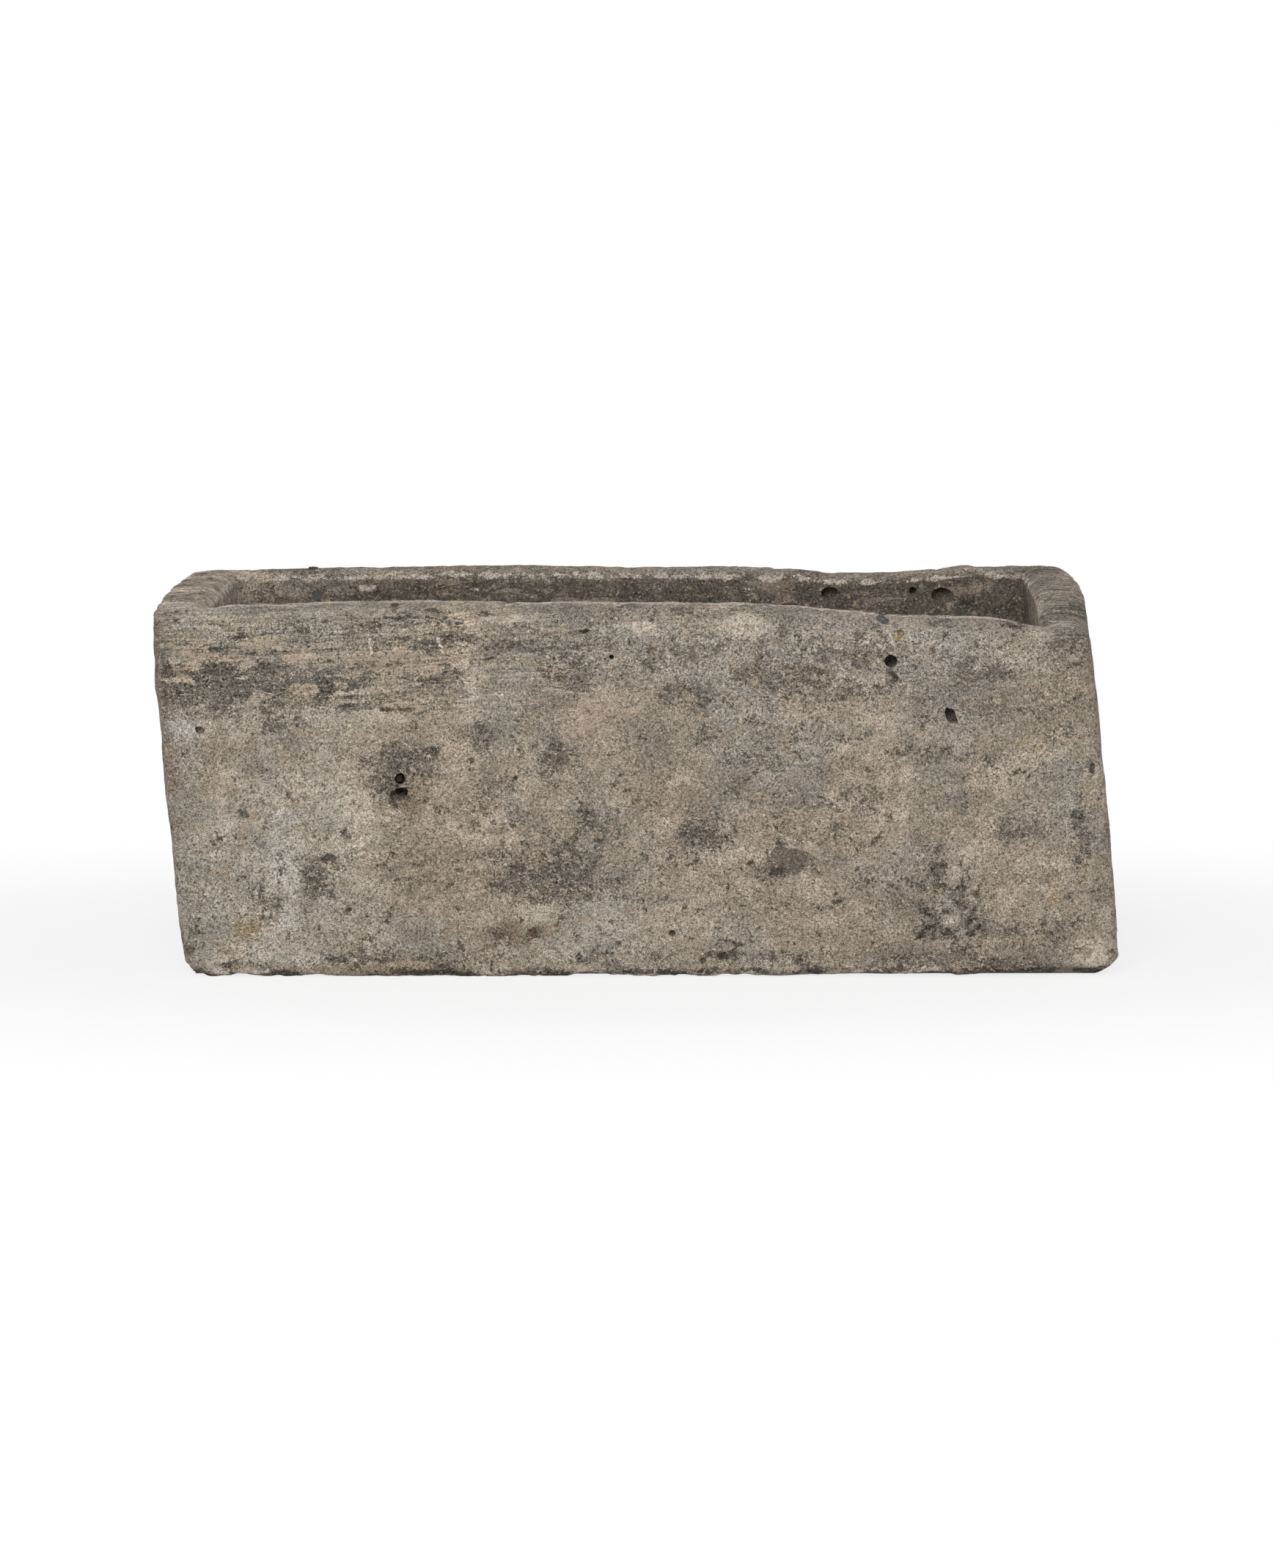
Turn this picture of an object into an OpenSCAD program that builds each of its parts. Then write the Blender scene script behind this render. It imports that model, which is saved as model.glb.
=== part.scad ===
// Stone trough sink: one carved block with a brass waste, a lift-out rubber
// plug with a pull ring, the stubs of old iron pins and a mortar filling.
// Millimetres, +Z up. The origin lies under the middle of the block on the
// surface that it stands on, and the front faces -Y.

/* [Block] */
// Length of the block along its foot
foot_len = 1101; // [900:1:1400]
// Length of the block along its rim
rim_len = 1092; // [900:1:1400]
// Depth of the block from front to back
block_dep = 450; // [360:1:620]
// Height of the rim above the foot
block_h = 440; // [300:1:600]
// How far the rim stands to the left of the foot
lean = 38; // [0:1:80]
// How far the left end draws in from the front to the back
left_draw = 20; // [0:1:50]
// How far both ends bow outwards at half their height
end_bow = 4; // [0:0.5:10]
// Radius of the two upright corners at the front
front_corner_r = 16; // [6:1:40]
// Radius of the two upright corners at the back
back_corner_r = 45; // [6:1:60]
// Radius along the foot of the two ends
foot_end_r = 20; // [6:1:40]
// Radius along the foot of the front and the back
foot_side_r = 8; // [3:1:20]

/* [Hollow] */
// Thickness of the front wall at the rim
front_wall = 60; // [45:1:90]
// Thickness of the back wall at the rim
back_wall = 57; // [45:1:90]
// Thickness of both end walls at the rim
end_wall = 54; // [45:1:90]
// Thickness of the floor
floor_t = 85; // [75:1:120]
// Radius of the upright corners of the hollow
hollow_corner_r = 32; // [15:1:60]
// How far each wall of the hollow draws in from the rim to the floor
hollow_taper = 12; // [0:1:30]
// Radius where the walls of the hollow meet the floor
floor_fillet = 35; // [15:1:50]

/* [Worn rim] */
// Radius of the outer edge of the rim at the front and the back
rim_outer_r = 22; // [8:1:26]
// How far the outer edge of the rim draws in at the two ends
rim_end_r = 5; // [2:1:26]
// Radius of the inner edge of the rim
rim_inner_r = 15; // [6:1:18]
// How much the middle of the rim stands above its two edges
rim_crown = 2; // [0:0.5:4]
// Depth of the worn stretch of the front rim
front_wear = 17; // [0:1:30]
// How far along the right end the front wear fades out
front_wear_fade = 130; // [60:1:200]
// Place along the front rim where the worn stretch starts
front_wear_from = 119; // [0:1:250]
// Place along the front rim where the wear is full
front_wear_to = 349; // [300:1:400]
// Depth of the worn dip of the back rim
back_wear = 8; // [0:1:20]
// Place along the back rim of the middle of its dip
back_wear_at = 285; // [0:1:400]
// Length of the dip of the back rim
back_wear_len = 300; // [100:1:400]
// How much the rim falls away towards its left end
left_wear = 5; // [0:1:15]
// Length of the stretch that falls away at the left end
left_wear_len = 290; // [100:1:400]

/* [Waste] */
// Distance of the waste from the right wall of the hollow
waste_inset = 192; // [140:1:300]
// Diameter of the flange of the waste
flange_d = 70; // [64:1:80]
// Thickness of the flange
flange_t = 4; // [3:0.5:6]
// Bevel round the top edge of the flange
flange_bevel = 1; // [0.5:0.1:2]
// Outer diameter of the threaded tail
tail_d = 47.8; // [47:0.1:50]
// Bore of the tail
tail_bore = 40; // [34:0.5:41]
// Height of the end of the tail above the foot
tail_end_z = 5; // [2:1:15]
// Diameter of the seat of the plug at the top of the flange
seat_top_d = 45.4; // [44:0.1:45.6]
// Diameter of the seat of the plug at its lower end
seat_end_d = 42.8; // [42:0.1:43.5]
// Depth of the seat of the plug
seat_depth = 12; // [8:1:16]
// Diameter of the well under the seat, which ends in a ledge
well_d = 41.8; // [41.5:0.1:42]
// Width of each of the two crossed bars that stand on the ledge
bar_w = 3; // [2:0.5:5]
// Height of the crossed bars
bar_h = 4; // [2:0.5:8]
// Drop from the lower end of the seat to the crossed bars
bar_drop = 4; // [3:1:10]
// Thickness of the seal under the flange
seal_t = 3; // [2:0.5:5]
// How far the seal lies inside the edge of the flange
seal_inset = 2; // [0.5:0.5:4]
// Diameter of the rubber washer under the floor
washer_d = 70; // [64:1:76]
// Thickness of the rubber washer under the floor
washer_t = 3; // [2:0.5:5]
// Diameter of the slip washer above the nut
slip_d = 68; // [64:1:76]
// Thickness of the slip washer above the nut
slip_t = 2; // [1:0.5:3]
// Width of the nut across its flats
nut_w = 60; // [56:1:66]
// Height of the nut
nut_h = 12; // [8:1:16]
// Diameter of the recess in the underside that holds the nut
recess_d = 120; // [100:1:160]
// Depth of the recess in the underside
recess_depth = 43; // [38:1:50]

/* [Plug] */
// Diameter of the lip of the plug
lip_d = 52; // [49:1:58]
// Thickness of the lip of the plug
lip_t = 4; // [3:0.5:6]
// Length of the tapered body of the plug below the lip
plug_len = 11; // [8:0.5:11.5]
// Diameter of the stem through the plug
stem_d = 6; // [4:0.5:8]
// Diameter of the plate on the plug and of the rivet head under it
plate_d = 17; // [14:0.5:20]
// Thickness of the plate and of the rivet head
plate_t = 1.6; // [1:0.2:3]
// Thickness of the eye that stands on the plate
eye_t = 3; // [2:0.5:4]
// Width of the eye
eye_w = 9; // [8:0.5:11]
// Diameter of the hole in the eye
eye_bore = 4.6; // [4:0.1:5]
// Height of the hole above the lip
eye_rise = 7; // [6:0.5:8]
// Diameter of the wire of the ring
ring_wire = 2.4; // [2:0.1:3]
// Diameter of the ring, measured at the middle of its wire
ring_d = 22; // [20:0.5:23]

/* [Old fixings] */
// Diameter of the iron pin in the front rim
front_pin_d = 8; // [5:0.5:12]
// Distance of the front pin from the left end of the rim
front_pin_at = 282; // [196:1:396]
// Distance of the front pin from the front face
front_pin_in = 22; // [16:1:40]
// Diameter of the iron pin in the back rim
back_pin_d = 12; // [6:0.5:14]
// Distance of the back pin from the left end of the rim
back_pin_at = 150; // [96:1:296]
// Distance of the back pin from the back face
back_pin_in = 30; // [20:1:45]
// Length of both iron pins
pin_len = 35; // [20:1:60]
// How far both iron pins stand above the stone
pin_above = 1; // [0:0.5:3]
// Diameter of the iron stub in the front face
stub_d = 8; // [5:0.5:10]
// How far the stub lies inside the front face
stub_in = 5; // [2:1:15]
// Diameter of the mortar filling in the back wall
mortar_d = 13; // [8:0.5:18]
// Distance of the mortar filling from the left end of the rim
mortar_at = 155; // [96:1:296]
// Drop of the mortar filling below the rim
mortar_drop = 32; // [30:1:60]
// Depth of the socket that the mortar fills
mortar_len = 17; // [12:1:18]

/* [Old holes] */
// Distance of the hole that holds the stub from the left end of the rim
stub_hole_at = 271; // [196:1:396]
// Height of the hole that holds the stub
stub_hole_z = 236; // [222:1:300]
// Diameter of the hole that holds the stub
stub_hole_d = 13; // [11:1:18]
// Drop from the hole that holds the stub to the hole under it
pair_drop = 17; // [17:1:30]
// Diameter of the hole under the stub
pair_hole_d = 18; // [12:1:22]
// Depth of the holes in the front face
front_hole_depth = 30; // [10:1:35]
// Depth of the holes in the back wall of the hollow
back_hole_depth = 25; // [10:1:30]

/* [Clearances] */
// Gap all round the tail in the bore of the floor
tail_gap = 2.1; // [1:0.1:4]
// Gap all round the flange in its rebate
flange_gap = 1.5; // [0.5:0.1:4]
// Gap all round the tail in the seal and the washers
washer_gap = 0.3; // [0.1:0.1:1]
// Gap all round the tail in the nut
thread_gap = 0.1; // [0.05:0.05:0.3]
// Gap between the plug and its seat
plug_gap = 0.3; // [0.2:0.1:0.6]
// Gap all round the stem in the plug
stem_gap = 0.05; // [0.02:0.01:0.2]
// Gap between the ring and the lip on which it lies
ring_gap = 0.3; // [0.2:0.1:0.8]
// Gap all round each pin and round the mortar filling
fixing_gap = 0.05; // [0.02:0.01:0.2]

/* [Smoothness] */
// Steps along each long side of the block
long_steps = 18; // [12:1:24]
// Steps along each short side of the block
short_steps = 6; // [4:1:10]
// Steps round each upright corner of the block
corner_steps = 5; // [4:1:8]
// Steps over each rounded edge of the block
edge_steps = 4; // [3:1:6]

/* [Hidden] */

STONE = "#8f8477";
BRASS = "#b08d4f";
RUBBER = "#2b2b2b";
NYLON = "#e4e1d6";
IRON = "#5e4130";
MORTAR = "#b3aa9b";

// How far a cutter reaches past the face that it cuts
past = 1;

// Blind holes in the front face: place along it, height, diameter
FRONT_HOLES = [[309, 386, 15], [372, 318, 14], [-501, 295, 8], [-15, 380, 6], [27, 52, 8]];

// Blind holes in the back wall of the hollow: place along it, height, diameter
BACK_HOLES = [[249, 419, 14], [353, 421, 9], [390, 412, 18]];

// The floor and what stands in it
waste_x = rim_len / 2 - end_wall - waste_inset;
rebate_z = floor_t - flange_t - seal_t;
seat_end_z = floor_t - seat_depth;
washer_z = recess_depth - washer_t;
slip_z = washer_z - slip_t;
nut_z = slip_z - nut_h;

// The plug in its seat, and the ring that lies on it
lip_z = floor_t + plug_gap;
lip_top_z = lip_z + lip_t;
plug_end_z = lip_z - plug_len;
plug_top_d = seat_top_d - 2 * plug_gap;
plug_end_d = plug_top_d - (seat_top_d - seat_end_d) * plug_len / seat_depth;
eye_z = lip_top_z + eye_rise;
ring_tilt = asin((eye_rise - ring_wire / 2 - ring_gap) / ring_d);

// The straight part of the walls of the hollow
hollow_top_z = block_h - rim_crown - rim_inner_r;
hollow_end_z = floor_t + floor_fillet;

// Runs smoothly from 0 at a to 1 at b
function ease(v, a, b) =
    let (t = min(max((v - a) / (b - a), 0), 1))
    t * t * (3 - 2 * t);

// How far the rim is worn below its full height at a place
function wear(x, y) =
    let (inner_y = -block_dep / 2 + front_wall,
         dip = abs(x - back_wear_at) / (back_wear_len / 2))
    front_wear * ease(x, front_wear_from, front_wear_to) * ease(-y, -inner_y - front_wear_fade, -inner_y)
    + back_wear * (1 - ease(dip, 0, 1)) * ease(y, 0, block_dep / 4)
    + left_wear * ease(-x, rim_len / 2 - left_wear_len, rim_len / 2);

// Moves a point of the square block to where the leaning, worn block has it
function weathered(p) =
    let (rise = p.z / block_h,
         back = p.y / block_dep + 0.5,
         left = 0.5 - p.x / rim_len,
         bow = end_bow * sin(180 * rise) * p.x / (foot_len / 2))
    [p.x + bow + lean * (0.5 - rise) + left_draw * left * back,
     p.y,
     p.z - wear(p.x, p.y) * pow(rise, 3)];

// How far the walls of the hollow have drawn in at height z
function drawn_in(z) =
    hollow_taper * min(max((hollow_top_z - z) / (hollow_top_z - hollow_end_z), 0), 1);

// The points round a quarter circle about c that starts at angle a, and the
// points between p and q on a straight side
function corner(c, r, a) =
    [for (i = [0 : corner_steps]) let (turn = a + 90 * i / corner_steps)
        c + r * [cos(turn), sin(turn)]];
function side(p, q, steps) =
    [for (i = [1 : steps - 1]) p + (q - p) * i / steps];

// Outline of a rectangle with rounded corners, from x0, y0 to x1, y1
function outline(x0, y0, x1, y1, front_r, back_r) =
    let (fl = [x0 + front_r, y0 + front_r], fr = [x1 - front_r, y0 + front_r],
         br = [x1 - back_r, y1 - back_r], bl = [x0 + back_r, y1 - back_r])
    concat(
        corner(fl, front_r, 180), side([fl.x, y0], [fr.x, y0], long_steps),
        corner(fr, front_r, 270), side([x1, fr.y], [x1, br.y], short_steps),
        corner(br, back_r, 0), side([br.x, y1], [bl.x, y1], long_steps),
        corner(bl, back_r, 90), side([x0, bl.y], [x0, fl.y], short_steps)
    );

// One ring of the block at height z. The share runs from 0 on the outside to
// 1 on the wall of the hollow, and draw_x and draw_y draw in further
function ring(share, z, draw_x = 0, draw_y = 0) =
    let (len = foot_len + (rim_len - foot_len) * z / block_h,
         x1 = len / 2 - end_wall * share - draw_x,
         y0 = -block_dep / 2 + front_wall * share + draw_y,
         y1 = block_dep / 2 - back_wall * share - draw_y,
         front_r = front_corner_r + (hollow_corner_r - front_corner_r) * share,
         back_r = back_corner_r + (hollow_corner_r - back_corner_r) * share)
    [for (p = outline(-x1, y0, x1, y1, front_r, back_r)) weathered([p.x, p.y, z])];

// A ring of the hollow, drawn in from its wall by a further amount
function hollow_ring(z, more = 0) =
    let (draw = drawn_in(z) + more)
    ring(1, z, draw, draw);

// The rings from the foot up the outside, over the rim and down the hollow
function block_rings() =
    let (top = block_h - rim_crown,
         outer = rim_outer_r / front_wall,
         inner = rim_inner_r / front_wall,
         turns = [for (i = [0 : edge_steps]) 90 * i / edge_steps],
         wall = [0.4, 0.62, 0.82])
    concat(
        [for (a = turns)
            ring(0, foot_end_r * (1 - cos(a)), foot_end_r * (1 - sin(a)), foot_side_r * (1 - sin(a)))],
        [for (share = wall) ring(0, block_h * share)],
        [for (a = turns)
            ring(0, top - rim_outer_r * (1 - sin(a)), rim_end_r * (1 - cos(a)), rim_outer_r * (1 - cos(a)))],
        [ring((1 + outer - inner) / 2, block_h)],
        [for (i = [edge_steps : -1 : 0])
            ring(1 - inner * (1 - cos(turns[i])), top - rim_inner_r * (1 - sin(turns[i])))],
        [for (i = [2 : -1 : 0]) hollow_ring(hollow_end_z + (hollow_top_z - hollow_end_z) * wall[i])],
        [for (a = turns)
            hollow_ring(floor_t + floor_fillet * (1 - sin(a)), floor_fillet * (1 - cos(a)))]
    );

// A closed skin over a stack of rings, with a flat face at each end
module loft(rings) {
    n = len(rings[0]);
    last = len(rings) - 1;
    walls = [for (k = [0 : last - 1], i = [0 : n - 1])
        let (a = k * n + i, b = k * n + (i + 1) % n)
        each [[a, a + n, b + n], [a, b + n, b]]];
    foot = [for (i = [0 : n - 1]) i];
    end = [for (i = [n - 1 : -1 : 0]) last * n + i];
    polyhedron([for (r = rings) each r], concat(walls, [foot, end]));
}

// The place along the block that lies this far from the left end of the rim
function from_left(at) = at - rim_len / 2;

// A round bar that goes len deep into the rim at a place on it and stands out
module rim_bar(at, y, d, len, above) {
    translate(weathered([at, y, block_h]) - [0, 0, len])
        cylinder(d = d, h = len + above, $fn = 48);
}

// A round bar that goes into the front face, from start to end inside it
module front_bar(at, z, d, start, end) {
    translate(weathered([at, -block_dep / 2 + start, z]))
        rotate([-90, 0, 0])
            cylinder(d = d, h = end - start, $fn = 48);
}

// The same in the back wall of the hollow
module back_bar(at, z, d, start, end) {
    face = block_dep / 2 - back_wall - drawn_in(z);
    translate(weathered([at, face + start, z]))
        rotate([-90, 0, 0])
            cylinder(d = d, h = end - start, $fn = 48);
}

// Everything that is cut through the floor for the waste
module waste_cuts() {
    translate([waste_x, 0, 0]) {
        translate([0, 0, -past])
            cylinder(d = recess_d, h = recess_depth + past, $fn = 96);
        cylinder(d = tail_d + 2 * tail_gap, h = floor_t + past, $fn = 96);
        translate([0, 0, rebate_z])
            cylinder(d = flange_d + 2 * flange_gap, h = floor_t + past - rebate_z, $fn = 96);
    }
}

// The old holes, and the sockets of the old fixings
module hole_cuts() {
    for (h = FRONT_HOLES)
        front_bar(h[0], h[1], h[2], -past, front_hole_depth);
    front_bar(from_left(stub_hole_at), stub_hole_z, stub_hole_d, -past, front_hole_depth);
    front_bar(from_left(stub_hole_at), stub_hole_z - pair_drop, pair_hole_d, -past, front_hole_depth);
    for (h = BACK_HOLES)
        back_bar(h[0], h[1], h[2], -rim_inner_r, back_hole_depth);
    back_bar(from_left(mortar_at), block_h - mortar_drop, mortar_d + 2 * fixing_gap, -past, mortar_len);
    rim_bar(from_left(front_pin_at), -block_dep / 2 + front_pin_in, front_pin_d + 2 * fixing_gap,
            pin_len, rim_crown + past);
    rim_bar(from_left(back_pin_at), block_dep / 2 - back_pin_in, back_pin_d + 2 * fixing_gap,
            pin_len, rim_crown + past);
}

// The stone, cut from one block
module trough_body() {
    color(STONE)
        difference() {
            loft(block_rings());
            waste_cuts();
            hole_cuts();
        }
}

module front_rim_pin() {
    color(IRON)
        rim_bar(from_left(front_pin_at), -block_dep / 2 + front_pin_in, front_pin_d, pin_len, pin_above);
}

module back_rim_pin() {
    color(IRON)
        rim_bar(from_left(back_pin_at), block_dep / 2 - back_pin_in, back_pin_d, pin_len, pin_above);
}

// What is left of a fixing in the upper of the two holes in the front
module front_stub() {
    color(IRON)
        front_bar(from_left(stub_hole_at), stub_hole_z, stub_d, stub_in, front_hole_depth);
}

module mortar_plug() {
    color(MORTAR)
        back_bar(from_left(mortar_at), block_h - mortar_drop, mortar_d, 0, mortar_len);
}

// A flat washer that stands at z on the axis of the waste
module washer(d, bore, t, z) {
    translate([waste_x, 0, z])
        difference() {
            cylinder(d = d, h = t, $fn = 96);
            translate([0, 0, -past])
                cylinder(d = bore, h = t + 2 * past, $fn = 96);
        }
}

module flange_seal() {
    color(RUBBER)
        washer(flange_d - 2 * seal_inset, tail_d + 2 * washer_gap, seal_t, rebate_z);
}

module lower_washer() {
    color(RUBBER)
        washer(washer_d, tail_d + 2 * washer_gap, washer_t, washer_z);
}

module slip_washer() {
    color(NYLON)
        washer(slip_d, tail_d + 2 * washer_gap, slip_t, slip_z);
}

// Flange, seat and tail turned in one piece, with two crossed bars on a ledge
module waste_body() {
    flange_z = floor_t - flange_t;
    ledge_z = seat_end_z - bar_drop - bar_h;
    bar_len = (well_d + tail_d) / 2;
    color(BRASS)
        translate([waste_x, 0, 0]) {
            rotate_extrude($fn = 96)
                polygon([
                    [seat_top_d / 2, floor_t],
                    [seat_end_d / 2, seat_end_z],
                    [well_d / 2, seat_end_z],
                    [well_d / 2, ledge_z],
                    [tail_bore / 2, ledge_z],
                    [tail_bore / 2, tail_end_z],
                    [tail_d / 2, tail_end_z],
                    [tail_d / 2, flange_z],
                    [flange_d / 2, flange_z],
                    [flange_d / 2, floor_t - flange_bevel],
                    [flange_d / 2 - flange_bevel, floor_t]
                ]);
            for (a = [45, 135])
                rotate([0, 0, a])
                    translate([-bar_len / 2, -bar_w / 2, ledge_z])
                        cube([bar_len, bar_w, bar_h]);
        }
}

module backnut() {
    color(BRASS)
        translate([waste_x, 0, nut_z])
            difference() {
                cylinder(d = nut_w / cos(30), h = nut_h, $fn = 6);
                translate([0, 0, -past])
                    cylinder(d = tail_d + 2 * thread_gap, h = nut_h + 2 * past, $fn = 96);
            }
}

// Tapered rubber body under a wider lip, with a hole for the stem
module plug() {
    stem_r = stem_d / 2 + stem_gap;
    color(RUBBER)
        translate([waste_x, 0, 0])
            rotate_extrude($fn = 96)
                polygon([
                    [stem_r, plug_end_z],
                    [plug_end_d / 2, plug_end_z],
                    [plug_top_d / 2, lip_z],
                    [lip_d / 2, lip_z],
                    [lip_d / 2, lip_top_z],
                    [stem_r, lip_top_z]
                ]);
}

// The plate on the plug, the stem through it, its rivet head, and the eye
module plug_boss() {
    color(BRASS)
        translate([waste_x, 0, 0]) {
            translate([0, 0, plug_end_z - plate_t])
                cylinder(d = plate_d, h = plate_t, $fn = 64);
            translate([0, 0, plug_end_z - plate_t / 2])
                cylinder(d = stem_d, h = lip_top_z - plug_end_z + plate_t, $fn = 48);
            translate([0, 0, lip_top_z])
                cylinder(d = plate_d, h = plate_t, $fn = 64);
            difference() {
                union() {
                    translate([-eye_t / 2, 0, eye_z])
                        rotate([0, 90, 0])
                            cylinder(d = eye_w, h = eye_t, $fn = 64);
                    translate([-eye_t / 2, -eye_w / 2, lip_top_z + plate_t / 2])
                        cube([eye_t, eye_w, eye_rise - plate_t / 2]);
                }
                translate([-eye_t / 2 - past, 0, eye_z])
                    rotate([0, 90, 0])
                        cylinder(d = eye_bore, h = eye_t + 2 * past, $fn = 48);
            }
        }
}

// The ring through the eye, lying down towards the front until it meets the lip
module pull_ring() {
    color(BRASS)
        translate([waste_x, 0, eye_z])
            rotate([ring_tilt, 0, 0])
                translate([0, -ring_d / 2, 0])
                    rotate_extrude($fn = 96)
                        translate([ring_d / 2, 0])
                            circle(d = ring_wire, $fn = 24);
}

trough_body();
front_rim_pin();
back_rim_pin();
front_stub();
mortar_plug();
flange_seal();
waste_body();
lower_washer();
slip_washer();
backnut();
plug();
plug_boss();
pull_ring();
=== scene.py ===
import math

import bpy
import numpy as np
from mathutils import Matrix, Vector, noise


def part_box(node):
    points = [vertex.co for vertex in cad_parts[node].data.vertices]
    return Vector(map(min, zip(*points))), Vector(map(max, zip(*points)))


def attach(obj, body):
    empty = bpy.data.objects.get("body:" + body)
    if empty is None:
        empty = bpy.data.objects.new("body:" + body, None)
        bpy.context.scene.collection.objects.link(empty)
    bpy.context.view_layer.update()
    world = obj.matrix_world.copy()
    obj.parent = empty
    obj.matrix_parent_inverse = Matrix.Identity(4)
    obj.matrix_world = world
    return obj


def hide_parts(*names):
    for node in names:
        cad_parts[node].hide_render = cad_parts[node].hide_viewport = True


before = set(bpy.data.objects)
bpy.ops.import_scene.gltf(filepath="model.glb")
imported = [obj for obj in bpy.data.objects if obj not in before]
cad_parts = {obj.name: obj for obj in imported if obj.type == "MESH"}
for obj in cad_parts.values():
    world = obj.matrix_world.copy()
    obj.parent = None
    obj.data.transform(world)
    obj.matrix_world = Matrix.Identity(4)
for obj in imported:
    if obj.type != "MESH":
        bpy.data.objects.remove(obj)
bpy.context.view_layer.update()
print("frame loaded")


def selectOnly(*chosen):  # selects these objects, the first one active, or none at all
    bpy.ops.object.select_all(action="DESELECT")
    for obj in chosen:
        obj.select_set(True)
    if chosen:
        bpy.context.view_layer.objects.active = chosen[0]


def applyModifier(obj, kind, **settings):
    selectOnly(obj)
    bpy.ops.object.modifier_add(type=kind)
    modifier = obj.modifiers[-1]
    for name, value in settings.items():
        setattr(modifier, name, value)
    bpy.ops.object.modifier_apply(modifier=modifier.name)


def cutWith(obj, tool, operation="DIFFERENCE"):
    applyModifier(obj, "BOOLEAN", operation=operation, solver="EXACT", object=tool)
    bpy.data.objects.remove(tool)


def nameNew(name):  # names the object that was just added and applies its transform
    obj = bpy.context.object
    obj.name = obj.data.name = name
    bpy.ops.object.transform_apply(location=True, rotation=True, scale=True)
    return obj


def addBox(name, low, high):  # a cube primitive with these two corners, in metres
    low, high = np.array(low), np.array(high)
    selectOnly()
    bpy.ops.mesh.primitive_cube_add(size=1, location=tuple((low + high) / 2), scale=tuple(high - low))
    return nameNew(name)


def addRod(name, start, axis, radius, length, sides=48):  # a cylinder primitive along x, y or z
    turn = {"x": (0, math.pi / 2, 0), "y": (-math.pi / 2, 0, 0), "z": (0, 0, 0)}[axis]
    middle = np.array(start, float)
    middle["xyz".index(axis)] += length / 2
    selectOnly()
    bpy.ops.mesh.primitive_cylinder_add(vertices=sides, radius=radius, depth=length,
                                        location=tuple(middle), rotation=turn)
    return nameNew(name)


def pick(obj, kind, chosen):  # edit mode with these edges or faces selected
    mesh = obj.data
    for part in (mesh.vertices, mesh.edges, mesh.polygons):
        part.foreach_set("select", np.zeros(len(part), bool))
    (mesh.edges if kind == "EDGE" else mesh.polygons).foreach_set("select", np.asarray(chosen, bool))
    selectOnly(obj)
    bpy.ops.object.mode_set(mode="EDIT")
    bpy.ops.mesh.select_mode(type=kind)


def pickEdges(obj, test):  # the edges whose two ends pass the test
    at = [vertex.co for vertex in obj.data.vertices]
    pick(obj, "EDGE", [test(at[edge.vertices[0]], at[edge.vertices[1]]) for edge in obj.data.edges])


def pickFaces(obj, test):
    pick(obj, "FACE", [test(face) for face in obj.data.polygons])


def pickAll(obj):
    selectOnly(obj)
    bpy.ops.object.mode_set(mode="EDIT")
    bpy.ops.mesh.select_mode(type="EDGE")
    bpy.ops.mesh.select_all(action="SELECT")


def leaveEdit():
    bpy.ops.object.mode_set(mode="OBJECT")


def bevelEdges(obj, test, offset, segments, **more):
    pickEdges(obj, test)
    bpy.ops.mesh.bevel(offset=offset, segments=segments, **more)
    leaveEdit()


def extrude(rise):
    bpy.ops.mesh.extrude_region_move(TRANSFORM_OT_translate={"value": (0, 0, rise)})


def mergeDoubles(obj, threshold, outward=False):
    pickAll(obj)
    bpy.ops.mesh.remove_doubles(threshold=threshold)
    if outward:
        bpy.ops.mesh.normals_make_consistent(inside=False)
    leaveEdit()


def readPoints(obj, what="co"):
    found = np.empty(len(obj.data.vertices) * 3)
    obj.data.vertices.foreach_get(what, found)
    return found.reshape(-1, 3)


def setPoints(obj, co):
    obj.data.vertices.foreach_set("co", np.ascontiguousarray(co).ravel())
    obj.data.update()


def clouds(co, size, octaves=3, stretch=(1, 1, 1), seed=0):  # soft noise from about -1 to 1, features of this size
    at = co / (size * np.array(stretch)) + seed * 7.31
    return np.array([noise.fractal(p, 1.0, 2.0, octaves, noise_basis="PERLIN_ORIGINAL") for p in at.tolist()])


def ease(value, low, high):  # 0 at low, 1 at high, smooth between
    t = np.clip((value - low) / (high - low), 0, 1)
    return t * t * (3 - 2 * t)


def middleOf(node):  # lowest corner, highest corner and middle of a CAD node
    low, high = (np.array(corner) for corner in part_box(node))
    return low, high, (low + high) / 2


stone = {  # metres
    "footLength": 1.101, "rimLength": 1.092, "depth": 0.450, "height": 0.440, "halfLength": 0.55,
    "frontWall": 0.060, "backWall": 0.057, "endWall": 0.054, "floor": 0.085,
    "frontCorner": 0.016, "backCorner": 0.045,
    "hollowCorner": 0.006, "hollowTaper": 0.012, "hollowFillet": 0.035,
    # roundings across and down, at the long sides, the left end and the right end
    "rimAcross": (0.036, 0.007, 0.018), "rimDown": (0.022, 0.005, 0.008), "rimInner": 0.015,
    "foot": (0.008, 0.020, 0.015),
    "lean": 0.038, "leftDraw": 0.020, "bow": 0.004, "bulge": 0.0075,
    "wasteAt": (0.300, 0.0), "recess": (0.060, 0.043), "bore": 0.026, "rebate": (0.0365, 0.007),
    "voxel": 0.0040, "quickVoxel": 0.0080, "triangles": 146000,
}


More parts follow.
